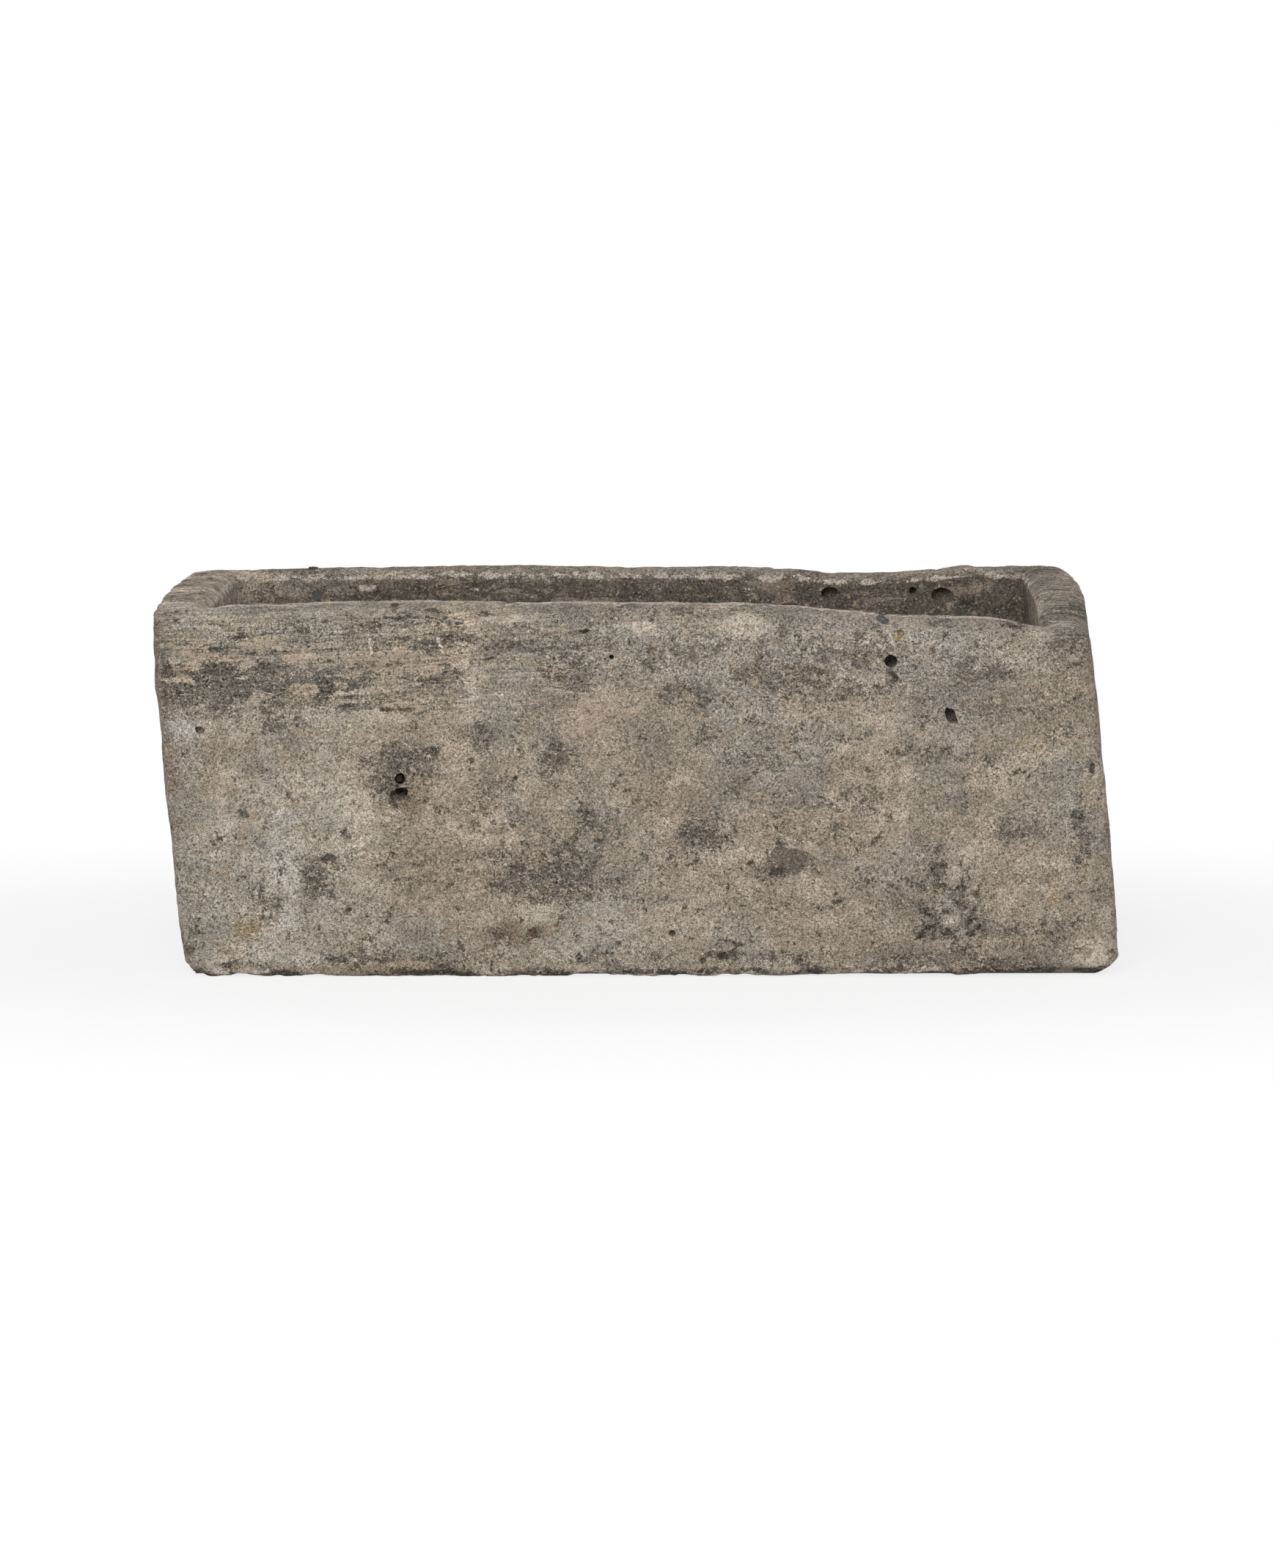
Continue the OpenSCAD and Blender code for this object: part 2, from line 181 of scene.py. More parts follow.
def cutBlock():  # the plain block with its hollow, before any wear
    s = stone
    half, deep, high = s["footLength"] / 2, s["depth"] / 2, s["height"]
    block = addBox("stoneTrough", (-half, -deep, 0), (half, deep, high))
    pickFaces(block, lambda face: face.normal.z > 0.9)
    bpy.ops.transform.resize(value=(s["rimLength"] / s["footLength"], 1, 1))
    leaveEdit()
    for side, corner, segments in ((-1, s["frontCorner"], 4), (1, s["backCorner"], 8)):
        bevelEdges(block, lambda a, b: abs(a.z - b.z) > 0.3 and a.y * side > 0, corner, segments)

    half = s["rimLength"] / 2 - s["endWall"]
    front, back = s["frontWall"] - deep, deep - s["backWall"]
    hollow = addBox("hollow", (-half, front, s["floor"]), (half, back, high))
    pickFaces(hollow, lambda face: face.normal.z < -0.9)
    bpy.ops.transform.resize(value=(1 - s["hollowTaper"] / half, 1 - 2 * s["hollowTaper"] / (back - front), 1))
    leaveEdit()
    bevelEdges(hollow, lambda a, b: abs(a.z - b.z) > 0.2, s["hollowCorner"], 8)
    bevelEdges(hollow, lambda a, b: max(a.z, b.z) < s["floor"] + 0.001, s["hollowFillet"], 6, clamp_overlap=True)
    pickFaces(hollow, lambda face: face.normal.z > 0.9)
    extrude(0.05)
    leaveEdit()
    cutWith(block, hollow)
    applyModifier(block, "REMESH", mode="VOXEL", voxel_size=s["voxel"])
    return block


# how deep inside a rounded rectangle, and the way out
def outlineDepth(x, y, halfX, y0, y1, frontRadius, backRadius):
    middle, halfY = (y0 + y1) / 2, (y1 - y0) / 2
    radius = np.where(y < middle, frontRadius, backRadius)
    qx, qy = np.abs(x) - (halfX - radius), np.abs(y - middle) - (halfY - radius)
    corner = (qx > 0) & (qy > 0)
    reach = np.hypot(qx, qy)
    depth = np.where(corner, radius - reach, radius - np.maximum(qx, qy))
    sideways = qx > qy
    wayX = np.where(corner, qx / np.maximum(reach, 1e-9), sideways) * np.sign(x)
    wayY = np.where(corner, qy / np.maximum(reach, 1e-9), ~sideways) * np.sign(y - middle)
    return depth, wayX, wayY


def outlines(x, y, z):  # the same for the outline of the block and for that of the hollow
    s = stone
    deep = s["depth"] / 2
    half = (s["footLength"] + (s["rimLength"] - s["footLength"]) * z / s["height"]) / 2
    return (outlineDepth(x, y, half, -deep, deep, s["frontCorner"], s["backCorner"]),
            outlineDepth(x, y, s["rimLength"] / 2 - s["endWall"], s["frontWall"] - deep, deep - s["backWall"],
                         s["hollowCorner"], s["hollowCorner"]))


def roundOver(co, depth, drop, wayX, wayY, across, down, up=1):  # turns a square edge into a quarter ellipse
    u, v = np.clip(1 - depth / across, 0, 1), np.clip(1 - drop / down, 0, 1)
    zone = (u > 0) & (v > 0) & (np.minimum(depth / across, drop / down) < 0.6)
    reach = np.where(zone, np.hypot(u, v), 1)
    inward = np.where(zone, (u - u / reach) * across, 0)
    co[:, 0] -= wayX * inward
    co[:, 1] -= wayY * inward
    co[:, 2] -= np.where(zone, up * (v - v / reach) * down, 0)


# worn stretches of the rim and the foot, in metres
wear = {
    # fall, from x to x, from -y to -y
    "frontDips": [(0.017, 0.119, 0.349, 0.035, 0.165), (0.014, 0.420, 0.510, 0.090, 0.200)],
    "backDip": (0.008, 0.285, 0.150, 0.112), "leftFall": (0.005, 0.256, 0.546), "crown": 0.002,
    "backRise": (0.003, 0.425, 0.022),
    "leftSwells": [(0.0026, 0.350, 0.035), (0.0020, 0.055, 0.030)],  # how far out, height, spread
    "footRises": [(0.0028, 0.05, 0.30), (0.0030, 0.37, 0.43), (0.0050, 0.44, 0.56)],  # rise, from x to x
    "waves": [(0.0020, 0.200, 2, 1), (0.0010, 0.060, 3, 2), (0.0005, 0.014, 3, 3)],  # height, size, octaves, seed
    "bedRibs": 0.0012, "frontSteps": 0.0009, "edgeChips": 0.0060, "pits": 0.0014, "footChips": 0.0050,
}


def bell(value, centre, spread):
    return np.exp(-((value - centre) / spread) ** 2)


def wearRim(co):  # rounds the edges of the block, lowers the worn stretches of the rim, and leans the block
    s, w = stone, wear
    high = s["height"]
    x, y, z = co.T
    (depth, wayX, wayY), (inner, inX, inY) = outlines(x, y, z)
    endness = wayX ** 2
    outside = inner < 0.0005
    sizes = lambda side, left, right: side + (np.where(x < 0, left, right) - side) * endness
    across, down = sizes(*s["rimAcross"]), sizes(*s["rimDown"])
    roundOver(co, np.where(outside, np.maximum(depth, 0), 1), high - z, wayX, wayY, across, down)
    roundOver(co, np.where(z > high - 0.05, np.abs(inner), 1), high - z, -inX, -inY, s["rimInner"], s["rimInner"])
    foot = sizes(*s["foot"])
    roundOver(co, np.where(z < 0.06, np.maximum(depth, 0), 1), z, wayX, wayY, foot, foot, up=-1)
    x, y, z = co.T
    rise = z / high
    frontDip = sum(fall * ease(x, x0, x1) * ease(-y, y0, y1) for fall, x0, x1, y0, y1 in w["frontDips"])
    fall, at, reach, behind = w["backDip"]
    backDip = fall * (1 - ease(np.abs(x - at) / reach, 0, 1)) * ease(y, 0, behind)
    fall, near, far = w["leftFall"]
    leftFall = fall * ease(-x, near, far)
    crown = w["crown"] * (1 - ease(np.minimum(np.abs(inner), np.abs(depth)), 0, 0.025)) * ease(z, high - 0.03, high)
    back, left = y / s["depth"] + 0.5, 0.5 - x / s["rimLength"]
    bulged = s["bulge"] * np.sin(math.pi * np.clip(back, 0, 1)) * np.sign(x)
    x = x + bulged * ease(-inner, 0.010, 0.050) * ease(rise, 0.3, 0.9)
    bowed = s["bow"] * np.sin(math.pi * rise) * x / s["halfLength"]
    co[:, 0] = x + bowed + s["lean"] * (0.5 - rise) + s["leftDraw"] * left * back
    height, at, spread = w["backRise"]
    backRise = height * bell(x, at, spread) * ease(y, 0.05, 0.15)
    co[:, 2] = z - (frontDip + backDip + leftFall - backRise) * rise ** 3 - crown
    co[:, 0] -= sum(out * bell(z, at, spread) for out, at, spread in w["leftSwells"]) * ease(-x, 0.505, 0.540)
    return co


def ownPlace(co):  # where a point of the leaning block was before it leaned
    s = stone
    rise, back = co[:, 2] / s["height"], co[:, 1] / s["depth"] + 0.5
    x = co[:, 0] - s["lean"] * (0.5 - rise) - 0.5 * s["leftDraw"] * back
    bowed = s["bow"] * np.sin(math.pi * np.clip(rise, 0, 1)) / s["halfLength"]
    x = x / (1 - s["leftDraw"] * back / s["rimLength"] + bowed)
    return np.column_stack((x, co[:, 1], co[:, 2]))


def zones(co):  # soft flags that say on which part of the block a point lies
    deep, high = stone["depth"] / 2, stone["height"]
    x, y, z = ownPlace(co).T
    (depth, wayX, wayY), (inner, inX, inY) = outlines(x, y, z)
    endward = np.where(depth < 0.03, wayX ** 2, np.where(inner > -0.03, inX ** 2, 0))
    return {
        "depth": depth, "inner": inner,
        "endward": endward * ease(-inner, -0.035, -0.015) + 0.3 * ease(inner, 0.015, 0.035),
        "hollow": ease(inner, -0.012, 0.002) * ease(z, 0.06, 0.08),
        "front": ease(-y, deep - 0.055, deep - 0.035) * ease(depth, 0.058, 0.044),
        "rim": ease(z, high - 0.045, high - 0.020) * ease(inner, 0.004, -0.002),
        "under": ease(z, 0.003, 0.001) * ease(depth, 0.004, 0.012),
    }


# old drilled holes: x, z, radius, depth, how ragged, in the front face and in the back wall of the hollow
slot, slantedHole, smallHole = (0.3675, 0.3105), (-0.2790, 0.2175), (-0.511, 0.294)
frontHoles = [
    (-0.277, 0.236, 0.0066, 0.030, 0.20), (-0.2790, 0.2175, 0.0096, 0.028, 0.15), (0.297, 0.375, 0.0077, 0.030, 0.08),
    (0.3675, 0.3105, 0.0078, 0.026, 0.22), (-0.029, 0.380, 0.0030, 0.014, 0.20), (0.042, 0.052, 0.0040, 0.012, 0.25),
    (-0.511, 0.294, 0.0042, 0.010, 0.25),
]
backHoles = [
    (0.237, 0.4095, 0.0075, 0.024, 0.20), (0.340, 0.412, 0.0048, 0.022, 0.15), (0.376, 0.4065, 0.0092, 0.024, 0.18),
]
widerThanHigh = [smallHole, backHoles[0][:2], backHoles[2][:2]]
# dents of the front face: x, z, half width, half height, depth, in metres
frontDents = [
    (-0.278, 0.2110, 0.022, 0.017, 0.0036), (-0.277, 0.238, 0.012, 0.011, 0.0016),
    (0.297, 0.3745, 0.013, 0.013, 0.0015), (0.299, 0.3555, 0.006, 0.009, 0.0022),
    (0.3675, 0.3105, 0.009, 0.014, 0.0012), (-0.360, 0.142, 0.0075, 0.0060, 0.0030),
    (-0.338, 0.080, 0.0050, 0.0040, 0.0030), (-0.511, 0.294, 0.008, 0.006, 0.0014),
    (0.163, 0.128, 0.016, 0.009, 0.0034), (0.134, 0.136, 0.006, 0.005, 0.0020),
    (0.109, 0.0375, 0.0135, 0.0060, 0.0042), (0.101, 0.026, 0.009, 0.006, 0.0030),
    (-0.120, 0.052, 0.006, 0.007, 0.0025), (-0.059, 0.410, 0.005, 0.003, 0.0022),
    (0.287, 0.422, 0.011, 0.006, 0.0030), (0.3045, 0.408, 0.010, 0.004, 0.0016), (0.534, 0.248, 0.004, 0.008, 0.0030),
    (0.078, 0.020, 0.004, 0.004, 0.0020), (-0.410, 0.296, 0.016, 0.012, 0.0010), (0.042, 0.052, 0.008, 0.006, 0.0012),
    (-0.470, 0.400, 0.010, 0.006, 0.0015), (0.448, 0.406, 0.020, 0.008, 0.0030),
    (-0.260, 0.110, 0.030, 0.050, 0.0008),
]
# knobs of harder stone with a low gap round them, painted with shade: x, z, radius, height
knobs = [
    (0.3690, 0.0660, 0.0125, 0.0024), (0.3565, 0.1270, 0.0080, 0.0018), (0.3530, 0.1110, 0.0062, 0.0014),
    (0.3790, 0.0980, 0.0088, 0.0020), (0.3405, 0.0850, 0.0095, 0.0020), (0.3470, 0.0735, 0.0060, 0.0014),
    (0.3945, 0.0885, 0.0088, 0.0020), (0.4010, 0.0745, 0.0070, 0.0015), (0.3340, 0.0560, 0.0072, 0.0015),
    (0.3500, 0.0510, 0.0060, 0.0012), (0.3785, 0.0490, 0.0060, 0.0012), (0.3920, 0.0575, 0.0080, 0.0015),
]
fineZones = frontDents[:20] + [(x, z, 1.5 * r, 1.5 * r, 0) for x, z, r, _ in knobs] + [
    (-0.281, 0.432, 0.014, 0.010, 0), (0.182, 0.140, 0.028, 0.0155, 0), (-0.121, 0.052, 0.012, 0.012, 0),
    (0.287, 0.422, 0.012, 0.008, 0), (-0.311, 0.398, 0.006, 0.016, 0), (-0.231, 0.398, 0.008, 0.016, 0),
    (-0.029, 0.380, 0.008, 0.008, 0),
]


def refine(obj, spots):  # splits the faces of the front round the small marks so that they keep their shape
    x, y, z = np.array([face.center for face in obj.data.polygons]).T
    chosen = np.zeros(len(x), bool)
    for spotX, spotZ, wide, tall, _ in spots:
        chosen |= np.hypot((x - spotX) / (wide + 0.003), (z - spotZ) / (tall + 0.003)) < 1.15
    pick(obj, "FACE", chosen & (y < -0.205) & (z < 0.445))
    bpy.ops.mesh.subdivide(number_cuts=1)
    leaveEdit()


def weatherStone(block):
    s, w = stone, wear
    co = wearRim(readPoints(block))
    setPoints(block, co)
    place, way = zones(co), readPoints(block, "normal")
    depth, inner, front, hollow = (place[name] for name in ("depth", "inner", "front", "hollow"))
    x, y, z = co.T
    calm = 1 - 0.9 * ease(np.hypot(x - s["wasteAt"][0], y - s["wasteAt"][1]), 0.075, 0.045) * (z < 0.13)
    push = sum(height * clouds(co, size, octaves, seed=seed) for height, size, octaves, seed in w["waves"])
    # thin beds stand upright and run along the block, so they show on the ends as ribs
    beds = clouds(co, 0.0085, 3, stretch=(30, 1, 12), seed=4) + 0.6 * clouds(co, 0.026, 2, stretch=(12, 1, 9), seed=5)
    ribbed = w["bedRibs"] * beds * np.clip(place["endward"] + 0.25 * place["rim"], 0, 1)
    push += ribbed * (1 - front) * (1 - 0.6 * hollow)
    # on the front the same beds end as flat patches with a low step round them
    level = 2.2 * clouds(co, 0.150, 4, stretch=(1.7, 1, 0.8), seed=6) + 0.5 * (z / s["height"])
    push += w["frontSteps"] * (np.floor(level) + ease(level - np.floor(level), 0.42, 0.58)) * front
    # chips along the edges only take stone away
    below = s["height"] - z
    edge = np.exp(-np.minimum(np.maximum(depth, 0) + below, 9) / 0.030) + np.exp(-(np.abs(inner) + below) / 0.030)
    edge = edge * (z > 0.3) + np.exp(-(np.maximum(depth, 0) + z) / 0.022)
    push -= w["edgeChips"] * np.maximum(clouds(co, 0.032, 3, seed=7) - 0.15, 0) * np.clip(edge, 0, 1)
    push -= w["pits"] * np.maximum(clouds(co, 0.020, 2, seed=8) - 0.35, 0) * (1 + 2 * hollow)
    push *= calm * (1 - place["under"])
    co = co + way * push[:, None]
    # the ragged foot
    near = ease(ownPlace(co)[:, 2], 0.034, 0.006) * ease(depth, 0.030, 0.004)
    lift = w["footChips"] * np.maximum(clouds(co, 0.034, 4, seed=9) + 0.25, 0)
    lift = lift + sum(rise * ease(x, x0, x1) for rise, x0, x1 in w["footRises"]) * ease(-y, 0.0, 0.2)
    co[:, 2] += lift * near
    co[:, 2] = np.maximum(co[:, 2], 0)
    setPoints(block, co)

    # fewer faces where the stone is seen from afar, few lost on the front, the rims and the top of the hollow
    place = zones(co)
    seen = np.clip(place["front"] + place["rim"] + (co[:, 2] > 0.345) * (place["inner"] > -0.01), 0, 1)
    group = block.vertex_groups.new(name="coarse")
    group.add(np.nonzero(seen < 0.5)[0].tolist(), 1.0, "REPLACE")
    group.add(np.nonzero(seen >= 0.5)[0].tolist(), 0.25, "REPLACE")
    faces = 2 * len(block.data.polygons)
    applyModifier(block, "DECIMATE", ratio=min(1, s["triangles"] / faces), vertex_group="coarse")
    block.vertex_groups.clear()
    print("stone worn:", len(block.data.polygons), "faces")


def drill(at, height, radius, deep, ragged, face):  # the tool for one old hole, bored in along y from the face
    tool = addRod("drill", (at, face, height), "y", radius, deep + (0.012 if face < 0 else 0.022), 32)
    pickEdges(tool, lambda a, b: abs(a.y - b.y) > 0.008)
    bpy.ops.mesh.subdivide(number_cuts=7)
    leaveEdit()
    rough = readPoints(tool)
    swell = 1 + ragged * clouds(rough, 0.006, 3, seed=at * 9)
    across, along = (rough[:, 0] - at) * swell, (rough[:, 2] - height) * swell
    if (at, height) == slot:
        square = (np.hypot(across, along) + 1e-9) / ((across ** 4 + along ** 4) ** 0.25 + 1e-9)
        across, along = across * square * 0.80 - along * square * 0.42, along * square * 1.15
    if (at, height) == slantedHole:  # upwards to the right
        inward = np.maximum(rough[:, 1] + 0.224, 0)
        across, along = across * 1.20 + 0.42 * inward, along * 0.85 + across * 0.35 + 0.30 * inward
    if (at, height) in widerThanHigh:
        across = across * 1.45
    rough[:, 0], rough[:, 2] = at + across, height + along
    setPoints(tool, rough)
    return tool


def wasteWay():  # the tool for the recess, the bore and the rebate of the waste
    s = stone
    (wide, deep), bore, (rebate, sunk) = s["recess"], s["bore"], s["rebate"]
    way = addRod("drill", (*s["wasteAt"], -0.010), "z", wide, 0.010 + deep, 96)
    for shrink, rise in ((bore / wide, s["floor"] - sunk - deep), (rebate / bore, 0.030)):
        pickFaces(way, lambda face: face.normal.z > 0.9 and face.center.z > 0.03)
        extrude(0)
        bpy.ops.transform.resize(value=(shrink, shrink, 1))
        extrude(rise)
        leaveEdit()
    return way


def cutDetails(block):
    refine(block, fineZones)
    refine(block, [spot for spot in fineZones if spot[2] < 0.016])
    co, way = readPoints(block), readPoints(block, "normal")
    x, z = co[:, 0], co[:, 2]
    wobble = clouds(co, 0.010, 3, seed=11)
    push = np.zeros(len(co))
    for spotX, spotZ, wide, tall, deep in frontDents:
        reach = np.hypot((x - spotX) / wide, (z - spotZ) / tall) * (1 + 0.30 * wobble)
        push -= deep * (1 - ease(reach, 0.25, 1.15)) * (1 + 0.35 * wobble)
    for knobX, knobZ, radius, rise in knobs:
        reach = np.hypot(x - knobX, (z - knobZ) * 1.15) * (1 + 0.80 * wobble) / radius
        push += rise * (1 - ease(reach, 0.40, 1.10)) - 0.5 * rise * bell(reach, 1.20, 0.22)
    setPoints(block, co + way * (push * zones(co)["front"])[:, None])

    # the drilled holes, the way of the waste and the sockets of the pins and the mortar
    tools = [drill(*hole, face) for holes, face in ((frontHoles, -0.235), (backHoles, 0.150)) for hole in holes]
    tools.append(wasteWay())
    for node in ("front_rim_pin", "back_rim_pin"):
        low, high, middle = middleOf(node)
        tools.append(addRod("drill", (*middle[:2], low[2]), "z", (high[0] - low[0]) / 2 + 0.0001, 0.06))
    low, high, middle = middleOf("mortar_plug")
    tools.append(addRod("drill", (middle[0], low[1] - 0.010, middle[2]), "y", (high[0] - low[0]) / 2 + 0.0003,
                        high[1] - low[1] + 0.010))
    for batch in (tools[1:2], tools[:1] + tools[2:]):  # the two holes of the pair meet, so one is cut after the other
        selectOnly(*batch)
        if len(batch) > 1:
            bpy.ops.object.join()
        cutWith(block, batch[0])
    co = readPoints(block)
    co[:, 2] = np.maximum(co[:, 2], 0)
    setPoints(block, co)
    print("holes cut:", len(block.data.polygons), "faces")


# marks in millimetres on the front face: x, z, half width, half height, strength
marks = {
    "crustAndShade": [
        (-500, 343, 60, 32, 0.80), (-440, 340, 80, 28, 0.74), (-370, 346, 60, 22, 0.64), (-300, 349, 80, 17, 0.46),
        (-225, 346, 50, 14, 0.34), (-330, 325, 100, 8, 0.60), (-255, 320, 60, 5, 0.62), (-470, 370, 80, 9, 0.60),
        (-350, 405, 200, 20, 0.46), (-240, 396, 60, 18, 0.45), (-420, 388, 90, 4, 0.62), (-280, 390, 60, 4, 0.55),
        (-90, 390, 34, 45, 0.40), (-79, 356, 30, 30, 0.60), (-418, 303, 18, 18, 0.60), (-341, 267, 22, 8, 0.45),
        (-277, 242, 42, 38, 0.80), (-250, 264, 26, 9, 0.50), (-378, 117, 19, 24, 1.0), (-434, 93, 26, 26, 0.40),
        (-222, 199, 18, 9, 0.45), (-186, 207, 16, 14, 0.45), (-161, 228, 22, 16, 0.55), (-178, 286, 28, 20, 0.60),
        (-91, 266, 28, 20, 0.70), (-53, 188, 30, 22, 0.65), (-134, 187, 18, 14, 0.45), (-124, 123, 52, 30, 0.66),
        (-80, 142, 40, 28, 0.62), (-100, 104, 62, 16, 0.60), (-155, 145, 30, 12, 0.5), (-55, 112, 40, 20, 0.50),
        (-230, 18, 62, 13, 0.65), (-55, 20, 24, 9, 0.60), (-335, 20, 42, 9, 0.85), (430, 17, 56, 8, 0.75),
        (318, 20, 40, 9, 0.60), (-130, 7, 40, 5, 0.70), (-300, 60, 50, 40, 0.22), (-262, 150, 30, 50, 0.22),
        (-530, 25, 16, 24, 0.45), (-470, 14, 40, 7, 0.55), (-480, 90, 60, 50, 0.18), (-552, 330, 12, 60, 0.45),
        (153, 357, 42, 15, 0.70), (216, 341, 64, 13, 0.60), (250, 384, 50, 18, 0.40), (60, 335, 30, 24, 0.55),
        (79, 285, 18, 13, 0.55), (142, 259, 38, 9, 0.50), (112, 217, 12, 10, 0.60), (77, 170, 32, 25, 0.95),
        (394, 360, 42, 13, 0.60), (330, 271, 34, 8, 0.60), (421, 266, 26, 11, 0.45), (265, 213, 30, 18, 0.45),
        (444, 179, 36, 20, 0.45), (388, 200, 9, 9, 0.60), (351, 130, 16, 26, 0.55), (300, 110, 60, 30, 0.25),
        (389, 34, 24, 9, 0.55), (366, 78, 46, 36, 0.30), (489, 55, 22, 16, 0.62), (180, 22, 56, 11, 0.55),
        (98, 29, 24, 10, 0.75), (15, 24, 30, 8, 0.55), (515, 297, 12, 10, 0.35), (520, 165, 13, 56, 0.52),
        (508, 402, 24, 26, 0.62), (470, 425, 24, 6, 0.5), (440, 52, 44, 16, 0.40), (500, 330, 30, 30, 0.25),
        (163, 128, 15, 8, 0.95), (134, 136, 7, 5, 0.80), (209, 125, 6, 5, 0.80), (142, 128, 9, 6, 0.60),
        (85, 29, 9, 5, 0.7), (385, 320, 60, 22, 0.32), (200, 385, 330, 48, 0.38), (60, 432, 160, 6, 0.40),
        (400, 418, 110, 6, 0.35), (490, 285, 16, 14, 0.45), (298, 356, 7, 9, 0.60), (180, 180, 60, 40, 0.20),
        (20, 130, 40, 60, 0.22), (160, 300, 90, 40, 0.25), (470, 250, 60, 30, 0.15), (250, 160, 50, 20, 0.30),
        (30, 380, 40, 22, 0.35), (342, 81, 11, 9, 0.75), (338, 54, 10, 9, 0.75), (385, 88, 16, 7, 0.80),
        (375, 98, 8, 9, 0.65), (406, 58, 9, 9, 0.60), (392, 33, 15, 6, 0.65), (355, 126, 12, 12, 0.60),
        (353, 64, 7, 12, 0.75), (369, 50, 14, 4, 0.70), (388, 64, 4, 10, 0.60), (-160, 50, 15, 7, 0.65),
        (-121, 51, 12, 7, 0.75), (-172, 38, 13, 6, 0.55),
    ],
    "pale": [
        (126, 415, 30, 13, 1.0), (8, 416, 24, 7, 0.95), (30, 408, 16, 5, 0.55), (-150, 425, 34, 8, 0.60),
        (-340, 213, 50, 48, 0.42), (-430, 205, 60, 55, 0.15), (533, 28, 28, 22, 0.85), (531, 120, 4, 60, 0.45),
        (-496, 20, 30, 14, 0.45), (-60, 12, 20, 6, 0.4), (60, 8, 30, 5, 0.5), (-250, 190, 34, 34, 0.28),
        (370, 67, 9, 8, 0.75), (-200, 332, 26, 14, 0.55), (-196, 310, 30, 6, 0.40), (300, 390, 40, 9, 0.35),
        (420, 384, 40, 8, 0.30), (480, 150, 50, 60, 0.12), (60, 230, 60, 20, 0.12), (170, 250, 40, 20, 0.10),
        (-30, 405, 24, 5, 0.30),
    ],
    "streak": [
        (-270, 375, 74, 9, 0.95), (-345, 379, 50, 5, 0.75), (-445, 397, 30, 6, 0.80), (-535, 391, 38, 10, 0.70),
        (-525, 367, 17, 7, 0.90), (-528, 354, 14, 5, 0.80), (-388, 341, 22, 7, 0.75), (-420, 351, 18, 4, 0.70),
        (-343, 346, 15, 7, 0.85), (-275, 319, 38, 7, 0.85), (-60, 308, 56, 20, 0.50), (-262, 12, 38, 7, 0.80),
        (-180, 397, 26, 8, 0.55), (-215, 388, 22, 5, 0.60), (-400, 386, 30, 5, 0.50), (-470, 379, 40, 4, 0.55),
    ],
    "bloom": [
        (-526, 293, 24, 18, 0.85), (-415, 194, 14, 10, 0.55), (-418, 130, 18, 30, 0.60), (-404, 70, 16, 16, 0.50),
        (-400, 20, 18, 12, 0.45), (-9, 428, 14, 5, 0.60), (298, 72, 8, 14, 0.45), (-417, 160, 12, 40, 0.80),
        (-412, 90, 13, 40, 0.75), (-430, 235, 12, 20, 0.5), (302, 416, 16, 6, 0.6), (200, 385, 330, 48, 0.44),
        (60, 300, 120, 60, 0.22), (480, 412, 40, 12, 0.35), (380, 318, 36, 24, 0.35), (310, 296, 60, 30, 0.30),
        (94, 148, 44, 8, 0.40), (330, 395, 50, 14, 0.35), (-300, 300, 30, 14, 0.30), (20, 60, 120, 40, 0.30),
        (-470, 300, 30, 20, 0.25), (250, 130, 80, 30, 0.20),
    ],
    "brown": [
        (-143, 52, 42, 14, 0.95), (-160, 50, 26, 12, 0.80), (-120, 52, 9, 8, 0.95), (-268, 208, 34, 18, 0.85),
        (-277, 240, 40, 30, 0.50), (-549, 240, 10, 70, 0.55), (-470, 235, 60, 60, 0.30), (-330, 12, 60, 9, 0.50),
        (40, 330, 40, 26, 0.35), (-200, 140, 60, 60, 0.22), (-380, 122, 22, 24, 0.30), (520, 30, 30, 20, 0.30),
        (60, 210, 90, 40, 0.22), (-60, 310, 60, 20, 0.25),
    ],
    "lichen": [
        (307, 404, 7, 5, 0.85), (473, 281, 22, 22, 0.40), (496, 198, 9, 8, 0.48), (488, 96, 10, 10, 0.46),
        (-457, 56, 24, 13, 0.45), (-479, 247, 18, 10, 0.30), (524, 120, 8, 16, 0.25),
    ],
    "rust": [
        (-281, 437, 6, 5, 0.75), (-281, 427, 5, 9, 0.30), (-120, 52, 9, 8, 0.75), (-158, 50, 16, 8, 0.55),
    ],
    "mortar": [
        (-142, 356, 22, 16, 0.75), (-150, 333, 24, 18, 0.85), (-162, 317, 22, 8, 0.80), (-125, 372, 16, 10, 0.50),
    ],
    "chert": [
        (184, 141, 22, 13, 1.0), (172, 146, 13, 9, 1.0), (186, 132, 12, 8, 1.0),
    ],
    "slate": [
        (286, 423, 6, 4, 1.0), (290, 420, 6, 3, 1.0),
    ],
    # painted shade in dents, holes, cracks and the undercuts along the foot
    "creviceShade": [
        (102, 26, 8, 4.5, 0.9), (78, 20, 4, 4, 0.8), (163, 128, 11, 5, 0.8), (134, 136, 4, 3, 0.7),
        (-250, 6, 60, 5, 0.9), (10, 5, 40, 4, 0.8), (110, 8, 40, 5, 0.6), (300, 7, 40, 5, 0.7), (420, 6, 90, 6, 0.9),
        (-120, 52, 5, 6, 0.8), (-150, 46, 5, 3, 0.5), (-60, 410, 6, 3, 0.7), (534, 249, 2.5, 7, 0.8),
        (-360, 142, 7, 5, 0.7), (-338, 80, 5, 4, 0.7), (-470, 401, 9, 5, 0.4), (300, 355, 5, 8, 0.6),
        (304, 409, 9, 3, 0.6), (440, 415, 26, 3, 0.6), (-452, 322, 40, 2, 0.5), (-300, 330, 60, 1.5, 0.5),
    ],
}
